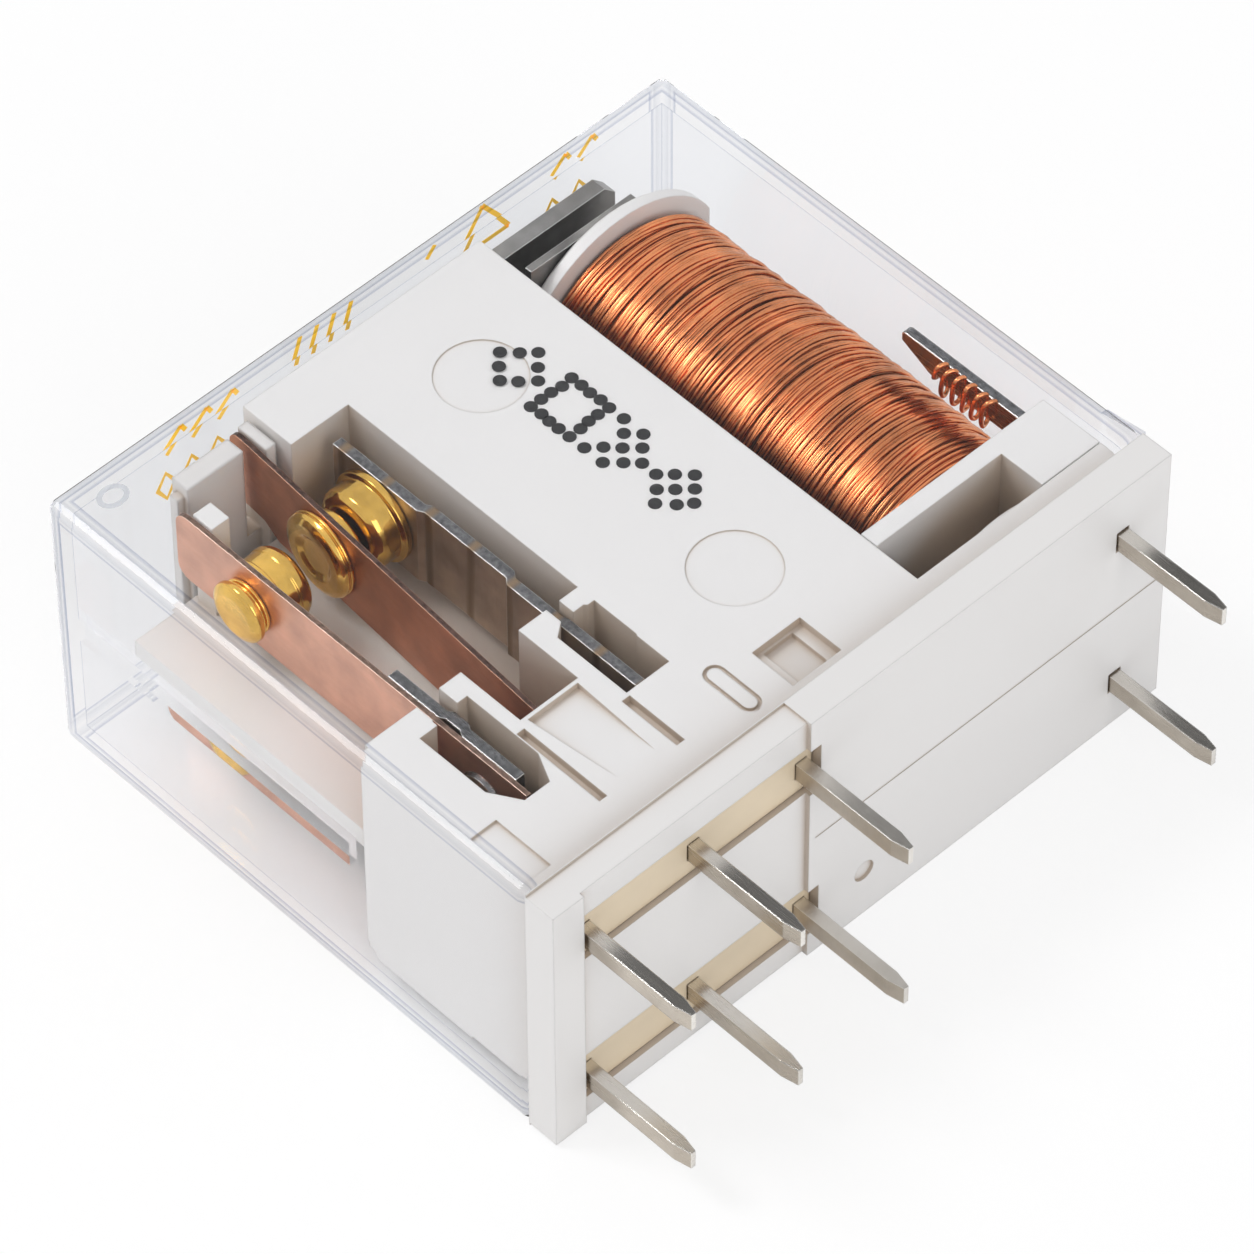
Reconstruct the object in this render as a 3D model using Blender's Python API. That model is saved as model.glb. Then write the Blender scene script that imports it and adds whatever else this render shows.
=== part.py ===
"""Plug-in relay with two changeover contacts, lying on its broad side.

The relay is drawn in its own body frame: X runs along its length from the contact end (-) to the coil end (+),
the second number is the height above the seating face that meets the circuit board, and Z is the height above
the broad side it lies on. The pins leave the seating face towards -Y. An empty carries that frame, so that the
whole relay, pins included, is centred on the origin and rests on Z = 0. All sizes below are in millimetres.
"""
import math

import bmesh
import bpy
from mathutils import Matrix, Vector

MM = 0.001

# Overall body
BODY_LENGTH = 29.0
BODY_HEIGHT = 25.0
BODY_THICKNESS = 12.4
MID_Z = BODY_THICKNESS / 2
FLANGE_HEIGHT = 1.35
RIM_GAP = 0.05
FIT_GAP = 0.05
LOOSE_GAP = 0.15

# Clear cover
COVER_WALL = 0.65
COVER_EDGE = 0.3
CATCH_PROUD = 0.3
CATCH_WIDTH = 2.0
CATCH_HEIGHT = 1.9
GUIDE_RIB = 0.4
GUIDE_RIB_TOP = 6.4
GUIDE_RIB_DEPTH = 1.2

# Pins
PIN_LENGTH = 4.8
PIN_THICKNESS = 0.5
PIN_WIDTH = 0.8
PIN_TIP = 0.7
PIN_ROW_SPACING = 7.5
PIN_SPACING = 5.0
ROW_DROP = 0.15
NO_PIN_X = -12.75
COM_PIN_X = NO_PIN_X + PIN_SPACING
NC_PIN_X = COM_PIN_X + PIN_SPACING
COIL_PIN_X = NC_PIN_X + 3 * PIN_SPACING

# Inner frame of the base
FRAME_TOP_Z = 11.5
FRAME_FAR_H = 24.15
PLATE_THICKNESS = 0.7
CHAMBER_RIGHT_X = -3.65
FRAME_RIGHT_X = 4.85
CHAMBER_WALL = 0.75
HEAD_LEFT_X = -6.3
HEAD_NEAR_H = 21.7
EJECTOR_RADIUS = 1.7
WEDGE_DEPTH = 0.27
STEP_DEPTH = 0.12
PAD_DEPTH = 0.1
PARTITION_THICKNESS = 0.9
PARTITION_FAR_H = 22.1
END_WALL_THICKNESS = 0.7
END_WALL_FAR_H = 10.0
BLOCK_FAR_H = 7.35
PIER_FAR_H = 10.25
END_WALL_X = -BODY_LENGTH / 2 + COVER_WALL + LOOSE_GAP

# Contact side
BLADE_TOP_Z = 11.05
BLADE_WIDTH = 3.65
BLADE_THICKNESS = 0.2
BLADE_Z = BLADE_TOP_Z - BLADE_WIDTH / 2
STRIP_THICKNESS = 0.42
CONTACT_H = 18.85
NO_BLADE_X = -10.8
NO_BLADE_TIP_H = 22.55
NO_BLADE_ROOT_H = 5.1
NO_STRIP_TOP_H = 12.1
RIVET_H = 7.2
NC_STRIP_X = -4.78
NC_STRIP_TOP_H = 21.05
STRIP_ROOT_H = 5.85
COM_ROOT_X = -8.1
COM_ROOT_H = 7.5
COM_TIP_H = 24.05
COM_LEAN = 3.8
COM_PLATE_X = COM_ROOT_X - 0.5
COM_PLATE_THICKNESS = 0.3
JOG = 0.14
RIVET_RADIUS = 0.62

# Contact rivets
NO_TAIL_RADIUS = 1.22
NO_HEAD_RADIUS = 1.5
NO_HEAD_LENGTH = 1.6
COM_HEAD_RADIUS = 1.7
COM_HEAD_LENGTH = 0.5
COM_BACK_RADIUS = 1.45
COM_BACK_LENGTH = 0.72
NC_HEAD_RADIUS = 1.62
NC_FLANGE_RADIUS = 1.82
NC_HEAD_LENGTH = 1.4
SHANK_RADIUS = 0.7

# Magnet system
COIL_X = 9.35
CORE_RADIUS = 1.25
HUB_WALL = 0.6
WINDING_RADIUS = 4.15
BOBBIN_RADIUS = 4.9
BOBBIN_NEAR_RADIUS = 4.4
BOBBIN_FLANGE = 0.55
BOBBIN_FAR_H = 22.3
CORE_PROUD = 0.36
POLE_PLATE_LEFT_X = 5.6
BOBBIN_NEAR_H = 2.6
BOBBIN_WALL_H = 4.55
WINDING_NEAR_H = 5.35
POLE_RADIUS = 2.0
POLE_THICKNESS = 0.45
YOKE_X = 2.6
YOKE_THICKNESS = 1.1
YOKE_TOP_Z = 10.6
YOKE_FAR_H = 23.32
YOKE_FOOT_H = 1.5
YOKE_FOOT = 1.0
ARMATURE_THICKNESS = 0.65
ARMATURE_NEAR_H = 23.45
ARMATURE_RIGHT_X = 10.7
ARMATURE_TOP_Z = 10.7
ARMATURE_LEG_X = 1.3
ARMATURE_LEG_END_H = 6.9
ARMATURE_LEG_WIDTH = 4.0
POCKET_RIGHT_X = 10.9
BOBBIN_RIGHT_X = 13.7

# Card
CARD_TOP_Z = 11.15
CARD_BEAM = 1.0
CARD_NEAR_H = 22.85
CARD_BLOCK_LEFT_X = -10.05
CARD_BLOCK_RIGHT_X = -7.5
CARD_FINGER_X = -6.88
CARD_FINGER_THICKNESS = 0.44
CARD_FINGER_NEAR_H = 22.35
CARD_FAR_H = 23.75
CARD_LIMB = 0.85

# Coil terminals and leads
POST_X = 12.95
POST_THICKNESS = 0.4
POST_TOP_Z = 11.05
POST_WIDTH = 1.2
POST_FAR_H = 11.2
LEAD_RADIUS = 0.11

# Seating face
CHANNEL_WIDTH = 2.3
CHANNEL_DEPTH = 0.85
RECESS_DEPTH = 0.2
RECESS_LEFT_X = -13.1
RECESS_RIGHT_X = -2.7
RESIN_THICKNESS = 0.62
SEAM_DEPTH = 0.025

POLES = (("upper", 1), ("lower", -1))


# ---------------------------------------------------------------- helpers

def clear_scene():
    """Remove every object, so that the script gives the same model wherever it runs."""
    for obj in list(bpy.data.objects):
        bpy.data.objects.remove(obj, do_unlink=True)


def make_origin():
    """The empty that carries the body frame: it centres the relay, its catch and its pins on the origin."""
    empty = bpy.data.objects.new("relay_origin", None)
    bpy.context.collection.objects.link(empty)
    seat_y = (PIN_LENGTH - BODY_HEIGHT) / 2
    empty.location = Vector((-CATCH_PROUD / 2, seat_y, 0)) * MM
    return empty


def make_material(name, colour, roughness, metallic=0.0, transmission=0.0):
    """A Principled material in a plain colour."""
    material = bpy.data.materials.new(name)
    material.use_nodes = True
    shader = material.node_tree.nodes["Principled BSDF"]
    shader.inputs["Base Color"].default_value = (*colour, 1.0)
    shader.inputs["Roughness"].default_value = roughness
    shader.inputs["Metallic"].default_value = metallic
    shader.inputs["Transmission Weight"].default_value = transmission
    return material


def place(mesh, name, material=None, parent=None, at=(0, 0, 0), turn=0.0, guide=False):
    """Link a mesh as an object whose origin stands at a body-frame point, turned about Z by some degrees."""
    obj = bpy.data.objects.new(name, mesh)
    bpy.context.collection.objects.link(obj)
    obj.parent = parent or ORIGIN
    obj.location = Vector(at) * MM
    obj.rotation_euler = (0, 0, math.radians(turn))
    if material:
        mesh.materials.append(material)
    if guide:
        obj.hide_render = True
        obj.display_type = "WIRE"
    return obj


def to_mesh(bm, name, smooth=False):
    """Scale a bmesh from millimetres, point its faces out and turn it into a mesh."""
    bmesh.ops.scale(bm, vec=(MM, MM, MM), verts=bm.verts)
    bmesh.ops.recalc_face_normals(bm, faces=bm.faces)
    mesh = bpy.data.meshes.new(name)
    bm.to_mesh(mesh)
    bm.free()
    if smooth:
        mesh.shade_smooth()
        mesh.set_sharp_from_angle(angle=math.radians(35))
    return mesh


def box(x, h, z, name="box"):
    """A rectangular block from its three ranges."""
    bm = bmesh.new()
    size = Vector((x[1] - x[0], h[1] - h[0], z[1] - z[0]))
    middle = Vector((x[0] + x[1], h[0] + h[1], z[0] + z[1])) / 2
    bmesh.ops.create_cube(bm, size=1.0, matrix=Matrix.Translation(middle) @ Matrix.Diagonal((*size, 1)))
    return to_mesh(bm, name)


def prism(outline, low, high, axis="Z", name="prism"):
    """A closed outline carried along an axis. Along Z it is drawn in X and height, along X in height and Z."""
    order = {"Z": lambda a, b, c: (a, b, c), "X": lambda a, b, c: (c, a, b)}[axis]
    bm = bmesh.new()
    rings = [[bm.verts.new(order(a, b, c)) for a, b in outline] for c in (low, high)]
    bm.faces.new(rings[0])
    bm.faces.new(rings[1])
    count = len(outline)
    for i in range(count):
        j = (i + 1) % count
        bm.faces.new((rings[0][i], rings[0][j], rings[1][j], rings[1][i]))
    return to_mesh(bm, name)


def turned(profile, centre, axis, segments=32, name="turned"):
    """A solid of revolution: profile points are (distance along the axis, radius), from end to end."""
    bm = bmesh.new()
    loops = []
    for along, radius in profile:
        ring = []
        for k in range(segments):
            a = 2 * math.pi * k / segments
            u, v = radius * math.cos(a), radius * math.sin(a)
            point = {"X": (along, u, v), "Y": (u, along, v), "Z": (u, v, along)}[axis]
            ring.append(bm.verts.new(Vector(centre) + Vector(point)))
        loops.append(ring)
    for low, high in zip(loops, loops[1:]):
        for k in range(segments):
            n = (k + 1) % segments
            bm.faces.new((low[k], low[n], high[n], high[k]))
    bm.faces.new(loops[0])
    bm.faces.new(loops[-1])
    return to_mesh(bm, name, smooth=True)


def cut(target, mesh, label, operation="DIFFERENCE", parent=None):
    """Add one EXACT Boolean to an object. The guide it uses stays hidden."""
    guide = place(mesh, f"{target.name}.{label}", parent=parent, guide=True)
    modifier = target.modifiers.new(label, "BOOLEAN")
    modifier.operation = operation
    modifier.solver = "EXACT"
    modifier.object = guide


def join(target, mesh, label, parent=None):
    """Add one EXACT Boolean union to an object."""
    cut(target, mesh, label, "UNION", parent)


def soften(target, width, segments=2, angle=40):
    """Round the sharp edges of an object."""
    bevel = target.modifiers.new("edges", "BEVEL")
    bevel.width = width * MM
    bevel.segments = segments
    bevel.limit_method = "ANGLE"
    bevel.angle_limit = math.radians(angle)


def both_sides(low, high, side):
    """A Z range of the upper pole (side 1), or its mirror image in the lower pole (side -1)."""
    if side > 0:
        return (low, high)
    return (BODY_THICKNESS - high, BODY_THICKNESS - low)


def row_z(side):
    """Height of a pin row."""
    return MID_Z - ROW_DROP + side * PIN_ROW_SPACING / 2


def blade_range(side):
    """Z range of a contact blade."""
    return both_sides(BLADE_TOP_Z - BLADE_WIDTH, BLADE_TOP_Z, side)


def blade_centre(side):
    """Height of a pole's contact axis."""
    return MID_Z + side * (BLADE_Z - MID_Z)


def around(centre, width):
    """A range of some width around a centre."""
    return (centre - width / 2, centre + width / 2)


# ---------------------------------------------------------------- cover

def make_cover(material):
    """The clear cover: a five-sided shell that opens at the seating side, with a catch and a guide rib."""
    half = BODY_LENGTH / 2
    rim = FLANGE_HEIGHT + RIM_GAP
    cover = place(box((-half, half), (rim, BODY_HEIGHT), (0, BODY_THICKNESS)), "cover", material)
    soften(cover, COVER_EDGE)
    catch = around(BODY_THICKNESS - COVER_EDGE - CATCH_WIDTH / 2, CATCH_WIDTH)
    lug = [(rim + 0.1, catch[0]), (rim + CATCH_HEIGHT, catch[0] + 0.3), (rim + CATCH_HEIGHT, catch[1] - 0.3),
           (rim + 0.1, catch[1])]
    join(cover, prism(lug, half - COVER_WALL / 2, half + CATCH_PROUD, "X"), "catch")
    inner = half - COVER_WALL
    cavity = box((-inner, inner), (0, BODY_HEIGHT - COVER_WALL), (COVER_WALL, BODY_THICKNESS - COVER_WALL))
    cut(cover, cavity, "cavity")
    rib_z = (GUIDE_RIB_TOP - GUIDE_RIB_DEPTH, GUIDE_RIB_TOP)
    rib = box((-inner - COVER_WALL / 2, -inner + GUIDE_RIB - LOOSE_GAP / 2), (END_WALL_FAR_H + 0.6,
              BODY_HEIGHT - COVER_WALL / 2), rib_z)
    join(cover, rib, "guide_rib")


# ---------------------------------------------------------------- base

def base_bodies(base):
    """Everything that stands up from the flange of the base."""
    full = (BODY_THICKNESS - FRAME_TOP_Z, FRAME_TOP_Z)
    low = FLANGE_HEIGHT - 0.2
    end = (END_WALL_X, END_WALL_X + END_WALL_THICKNESS)
    join(base, box((END_WALL_X + 0.1, CHAMBER_RIGHT_X + 0.1), (low, BLOCK_FAR_H), full), "terminal_block")
    wall = [(low, full[0]), (END_WALL_FAR_H - 0.6, full[0]), (END_WALL_FAR_H, full[0] + 0.7),
            (END_WALL_FAR_H, full[1]), (low, full[1])]
    join(base, prism(wall, end[0], end[1], "X"), "end_wall")
    join(base, box((NO_BLADE_X + 0.5, -9.05), (low + 1, PIER_FAR_H), full), "left_pier")
    pier = (-6.4, NC_STRIP_X - STRIP_THICKNESS / 2 - 2.5 * FIT_GAP)
    join(base, box(pier, (low + 1, PIER_FAR_H), full), "right_pier")
    join(base, box((end[0] + 0.2, NO_BLADE_X - 0.35), (low + 1, PIER_FAR_H - 0.1), full), "end_pier")
    join(base, box((CHAMBER_RIGHT_X, FRAME_RIGHT_X), (low, FRAME_FAR_H), full), "frame")
    join(base, box((HEAD_LEFT_X, CHAMBER_RIGHT_X + 0.3), (HEAD_NEAR_H, FRAME_FAR_H), full), "frame_head")
    join(base, box((NC_STRIP_X + STRIP_THICKNESS / 2 + FIT_GAP, CHAMBER_RIGHT_X + 0.3), (9.45, PIER_FAR_H),
                   full), "strip_tooth")
    middle = around(MID_Z, PARTITION_THICKNESS)
    join(base, box((end[0] + 0.45, CHAMBER_RIGHT_X + 0.2), (low + 2, PARTITION_FAR_H), middle), "partition")
    sill = (FRAME_RIGHT_X - 0.3, BOBBIN_RIGHT_X)
    join(base, box(sill, (low, BOBBIN_NEAR_H - FIT_GAP), full), "coil_sill")


def stop_posts(base):
    """The two posts on the partition that the normally open blades lean on."""
    for name, side in POLES:
        top = BLADE_TOP_Z + 0.1
        x = (NO_BLADE_X + BLADE_THICKNESS / 2 + FIT_GAP, NO_BLADE_X + 0.95)
        post = box(x, (20.95, 21.9), both_sides(MID_Z, top, side))
        join(base, post, f"{name}_stop")


def base_inner_cuts(base):
    """The hollow frame with the room for the armature leg, the card, the yoke and its foot."""
    hollow = around(MID_Z, FRAME_TOP_Z * 2 - BODY_THICKNESS - 2 * PLATE_THICKNESS)
    x = (CHAMBER_RIGHT_X + CHAMBER_WALL, FRAME_RIGHT_X + 1)
    cut(base, box(x, (YOKE_FOOT_H + 1.6, FRAME_FAR_H + 1), hollow), "frame_hollow")
    foot = (YOKE_X - FIT_GAP, BOBBIN_RIGHT_X + 1)
    cut(base, box(foot, (YOKE_FOOT_H - FIT_GAP, YOKE_FOOT_H + 2.2), hollow), "yoke_room")
    slot = box((HEAD_LEFT_X - 1, CHAMBER_RIGHT_X + CHAMBER_WALL + 1), (CARD_NEAR_H - LOOSE_GAP, FRAME_FAR_H + 1),
               around(MID_Z, CARD_BEAM + 2 * LOOSE_GAP))
    cut(base, slot, "card_slot")


def base_pole_cuts(base):
    """The pockets of the two fixed strips, the blade slot and the moulded marks of each pole."""
    for name, side in POLES:
        def z(low, high):
            return both_sides(low, high, side)
        deep = z(MID_Z + PARTITION_THICKNESS / 2, FRAME_TOP_Z + 1)
        shallow = z(FRAME_TOP_Z - 0.35, FRAME_TOP_Z + 1)
        floor = z(FRAME_TOP_Z - 0.55, FRAME_TOP_Z + 1)
        skim = z(FRAME_TOP_Z - STEP_DEPTH, FRAME_TOP_Z + 1)
        island = z(FRAME_TOP_Z - 0.5, FRAME_TOP_Z)
        thread = z(BLADE_TOP_Z - BLADE_WIDTH - 0.1, BLADE_TOP_Z + 0.1)
        left, right = NC_STRIP_X - 0.9, CHAMBER_RIGHT_X - 0.05
        nc = [(left, 9.1), (left, STRIP_ROOT_H - 0.1), (right, STRIP_ROOT_H - 0.1), (right, 9.2),
              (right - 0.35, 9.55), (NC_STRIP_X - STRIP_THICKNESS / 2 - 0.1, 9.55)]
        cut(base, prism(nc, deep[0], deep[1]), f"{name}_nc_pocket")
        no = [(-12.0, 9.1), (-12.0, 5.9), (-11.3, 4.75), (-10.15, 4.75), (-9.6, 5.9), (-9.6, 9.35),
              (-11.2, 9.35), (-11.2, 9.1)]
        cut(base, prism(no, deep[0], deep[1]), f"{name}_no_pocket")
        gap = (NO_BLADE_X - BLADE_THICKNESS / 2 - FIT_GAP, NO_BLADE_X + 0.75)
        cut(base, box(gap, (9.0, PIER_FAR_H + 1), deep), f"{name}_no_gap")
        com = (COM_ROOT_X - 0.75, COM_ROOT_X + 0.7)
        cut(base, box(com, (5.0, BLOCK_FAR_H + 0.2), thread), f"{name}_com_slot")
        cut(base, box((-9.55, -9.2), (3.0, 7.0), shallow), f"{name}_left_groove")
        cut(base, box((-6.05, -5.68), (2.95, 5.6), shallow), f"{name}_right_groove")
        wedge = [(-8.4, 3.3), (-6.7, 3.3), (-6.55, 7.2), (-8.85, 7.2)]
        cut(base, sloped(wedge, side), f"{name}_wedge")
        cut(base, box((-1.45, 0.8), (2.15, 4.1), shallow), f"{name}_window")
        cut(base, box((-1.0, 0.35), (2.35, 4.0), floor), f"{name}_window_floor")
        cut(base, box((END_WALL_X - 0.2, -12.55), (2.2, 4.8), skim), f"{name}_step")
        cut(base, prism(stadium(-3.0, 2.2, 4.7, 0.42), skim[0], skim[1]), f"{name}_track")
        join(base, prism(stadium(-3.0, 2.34, 4.56, 0.28), island[0], island[1]), f"{name}_track_island")
        pad = (-BODY_LENGTH / 2 - 1, RECESS_RIGHT_X)
        rim = z(BODY_THICKNESS - PAD_DEPTH, BODY_THICKNESS + 1)
        cut(base, box(pad, (-1, FLANGE_HEIGHT - 0.05), rim), f"{name}_pad")
        for mark, (x, h) in enumerate(((0.54, 19.49), (0.76, 7.18))):
            drill = [(FRAME_TOP_Z - 0.05, EJECTOR_RADIUS), (FRAME_TOP_Z + 1, EJECTOR_RADIUS)]
            disc = turned(drill, (x, h, 0), "Z")
            cut(base, flip(disc, side), f"{name}_ejector_{mark}")


def stadium(x, near, far, radius):
    """Outline of a slot along the height, with round ends, centred on x."""
    points = []
    for centre, start in ((far - radius, 0), (near + radius, 180)):
        for step in range(9):
            a = math.radians(start + 22.5 * step)
            points.append((x + radius * math.cos(a), centre + radius * math.sin(a)))
    return points


def flip(mesh, side):
    """Mirror a mesh from the upper pole into the lower one."""
    if side < 0:
        mesh.transform(Matrix.Translation((0, 0, BODY_THICKNESS * MM)) @ Matrix.Diagonal((1, 1, -1, 1)))
        mesh.flip_normals()
    return mesh


def sloped(outline, side):
    """A cutter with a floor that rises from its far edge to nothing at its near edge."""
    bm = bmesh.new()
    near = min(h for _, h in outline)
    far = max(h for _, h in outline)
    floor = [bm.verts.new((x, h, FRAME_TOP_Z - WEDGE_DEPTH * (h - near) / (far - near))) for x, h in outline]
    roof = [bm.verts.new((x, h, FRAME_TOP_Z + 1)) for x, h in outline]
    bm.faces.new(floor)
    bm.faces.new(roof)
    for i in range(len(outline)):
        j = (i + 1) % len(outline)
        bm.faces.new((floor[i], floor[j], roof[j], roof[i]))
    return flip(to_mesh(bm, "wedge"), side)


def base_terminal_cuts(base):
    """The hidden ways of the terminals through the block, and the seating face with its resin channels."""
    half_row = PIN_WIDTH / 2 + 0.1
    for name, side in POLES:
        row = around(row_z(side), 2 * half_row)
        ways = ((NC_STRIP_X, NC_PIN_X), (NO_BLADE_X + 0.31, NO_PIN_X), (COM_PLATE_X, COM_PIN_X))
        for label, (strip, pin) in zip(("nc", "no", "com"), ways):
            ends = (min(strip, pin) - 0.35, max(strip, pin) + 0.35)
            cut(base, box(ends, (4.0, 6.2), row), f"{name}_{label}_bend")
            cut(base, box(around(pin, PIN_THICKNESS + 0.1), (-1, 4.2), row), f"{name}_{label}_pin")
        cut(base, box(around(COIL_PIN_X, PIN_THICKNESS + 0.1), (-1, 4.2), row), f"{name}_coil_pin")
        channel = around(row_z(side), CHANNEL_WIDTH)
        cut(base, box((RECESS_LEFT_X, RECESS_RIGHT_X + 0.5), (-1, RECESS_DEPTH + CHANNEL_DEPTH), channel),
            f"{name}_channel")
    across = (-1, BODY_THICKNESS + 1)
    cut(base, box((RECESS_LEFT_X, RECESS_RIGHT_X), (-1, RECESS_DEPTH), across), "face_recess")
    seam = (RECESS_RIGHT_X + 0.3, BODY_LENGTH / 2 + 1)
    cut(base, box(seam, (-1, SEAM_DEPTH), around(MID_Z, 0.12)), "parting_line")
    dimple = turned([(-1, 0.45), (0.12, 0.45)], (0.0, 0, 2.3), "Y", 24)
    cut(base, dimple, "dimple")


def make_base(material):
    """The white moulded base: flange, terminal block, contact chamber and the frame beside the coil."""
    half = BODY_LENGTH / 2
    base = place(box((-half, half), (0, FLANGE_HEIGHT), (0, BODY_THICKNESS)), "base", material)
    base_bodies(base)
    stop_posts(base)
    base_inner_cuts(base)
    base_pole_cuts(base)
    base_terminal_cuts(base)


def make_resin(material):
    """The sealing resin in the bottom of each pin channel, with the pins standing through it."""
    floor = RECESS_DEPTH + CHANNEL_DEPTH - 0.02
    for name, side in POLES:
        z = around(row_z(side), CHANNEL_WIDTH - 2 * FIT_GAP)
        x = (RECESS_LEFT_X + FIT_GAP, RECESS_RIGHT_X + 0.5 - FIT_GAP)
        resin = place(box(x, (floor - RESIN_THICKNESS, floor), z), f"seal_resin_{name}", material)
        for label, pin in (("no", NO_PIN_X), ("com", COM_PIN_X), ("nc", NC_PIN_X)):
            hole = box(around(pin, PIN_THICKNESS + 0.06), (-1, 2), around(row_z(side), PIN_WIDTH + 0.06))
            cut(resin, hole, label)


# ---------------------------------------------------------------- terminals and contacts

def pin_outline(strip_left, strip_right, pin_x, root_h, top_h):
    """Outline of a stamped terminal in X and height: a strip, a bend inside the block, and its pin."""
    left, right = around(pin_x, PIN_THICKNESS)
    tip = PIN_THICKNESS / 2 - 0.1
    low, high = root_h - 1.45, root_h - 0.85
    if pin_x > strip_left:
        return [(strip_left, top_h), (strip_left, low), (left, low), (left, PIN_TIP - PIN_LENGTH),
                (left + tip, -PIN_LENGTH), (right - tip, -PIN_LENGTH), (right, PIN_TIP - PIN_LENGTH),
                (right, high), (strip_right, high), (strip_right, top_h)]
    return [(strip_left, top_h), (strip_left, high), (left, high), (left, PIN_TIP - PIN_LENGTH),
            (left + tip, -PIN_LENGTH), (right - tip, -PIN_LENGTH), (right, PIN_TIP - PIN_LENGTH),
            (right, low), (strip_right, low), (strip_right, top_h)]


def make_terminal(name, side, strip_x, pin_x, top_h, width, hole_h, jogs, material):
    """A fixed strip with its pin: a narrow bent stem and a wide strip joined to it."""
    left, right = around(strip_x, STRIP_THICKNESS)
    row = around(row_z(side), PIN_WIDTH)
    stem = prism(pin_outline(left, right, pin_x, STRIP_ROOT_H, STRIP_ROOT_H + 0.6), row[0], row[1])
    terminal = place(stem, name, material)
    z = both_sides(BLADE_TOP_Z - width, BLADE_TOP_Z, side)
    path = [(0, STRIP_ROOT_H)]
    for h, shift in jogs:
        path += [(path[-1][0], h - 0.12), (shift, h + 0.12)]
    path.append((path[-1][0], top_h))
    outline = [(right + dx, h) for dx, h in path] + [(left + dx, h) for dx, h in reversed(path)]
    join(terminal, prism(outline, z[0], z[1]), "strip")
    hole = turned([(left - 1, SHANK_RADIUS + 0.03), (right + 1, SHANK_RADIUS + 0.03)],
                  (0, hole_h, blade_centre(side)), "X", 24)
    cut(terminal, hole, "hole")
    return terminal


def blade_outline(low, high, root_h, tip_h, side, radius=0.55):
    """Outline of a blade in height and Z, with its two tip corners rounded and its tip a little narrower."""
    z0, z1 = low, high
    narrow = 0.45
    shoulder = tip_h - 2.6
    inner0 = z0 + (narrow if side > 0 else 0)
    inner1 = z1 - (narrow if side < 0 else 0)
    points = [(root_h, z1), (root_h, z0), (shoulder, z0), (shoulder + 0.8, inner0)]
    for centre, start in (((tip_h - radius, inner0 + radius), -90), ((tip_h - radius, inner1 - radius), 0)):
        for step in range(5):
            a = math.radians(start + 22.5 * step)
            points.append((centre[0] + radius * math.cos(a), centre[1] + radius * math.sin(a)))
    return points + [(shoulder + 0.8, inner1), (shoulder, z1)]


def tidy_outline(points):
    """Drop points that repeat the one before them."""
    kept = []
    for p in points:
        if not kept or math.dist(p, kept[-1]) > 0.01:
            kept.append(p)
    return kept


def make_no_side(name, side, metal, copper, gold):
    """The normally open contact: terminal, spring blade riveted to it, and the contact rivet."""
    z = blade_range(side)
    centre = blade_centre(side)
    strip_x = NO_BLADE_X + BLADE_THICKNESS / 2 + STRIP_THICKNESS / 2 + 0.02
    make_terminal(f"no_terminal_{name}", side, strip_x, NO_PIN_X, NO_STRIP_TOP_H, BLADE_WIDTH - 0.5, RIVET_H,
                  ((8.6, JOG), (9.5, 0)), metal)
    outline = tidy_outline(blade_outline(z[0], z[1], NO_BLADE_ROOT_H, NO_BLADE_TIP_H, side))
    sides = around(NO_BLADE_X, BLADE_THICKNESS)
    blade = place(prism(outline, sides[0], sides[1], "X"), f"no_blade_{name}", copper)
    for label, h in (("rivet", RIVET_H), ("contact", CONTACT_H)):
        radius = (SHANK_RADIUS if label == "contact" else RIVET_RADIUS) + 0.03
        hole = turned([(NO_BLADE_X - 1, radius), (NO_BLADE_X + 1, radius)], (0, h, centre), "X", 24)
        cut(blade, hole, label)
    left, right = sides[0] - 0.02, sides[1] + 0.02
    rivet = [(left - 0.75, NO_TAIL_RADIUS - 0.15), (left - 0.62, NO_TAIL_RADIUS), (left - 0.35, NO_TAIL_RADIUS),
             (left - 0.2, NO_TAIL_RADIUS - 0.25), (left, NO_TAIL_RADIUS - 0.2), (left, SHANK_RADIUS),
             (right, SHANK_RADIUS), (right, NO_HEAD_RADIUS), (right + 0.3, NO_HEAD_RADIUS),
             (right + 0.34, NO_HEAD_RADIUS - 0.1), (right + NO_HEAD_LENGTH - 0.15, NO_HEAD_RADIUS - 0.1),
             (right + NO_HEAD_LENGTH, NO_HEAD_RADIUS - 0.28)]
    place(turned(rivet, (0, CONTACT_H, centre), "X", 40), f"no_contact_{name}", gold)
    far = strip_x + STRIP_THICKNESS / 2
    fixing = [(left - 0.3, 0.6), (left - 0.2, 0.95), (left, 1.0), (left, RIVET_RADIUS - 0.03),
              (far + 0.04, RIVET_RADIUS - 0.03), (far + 0.04, 0.85), (far + 0.25, 0.7)]
    place(turned(fixing, (0, RIVET_H, centre), "X", 28), f"no_rivet_{name}", metal)


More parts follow.
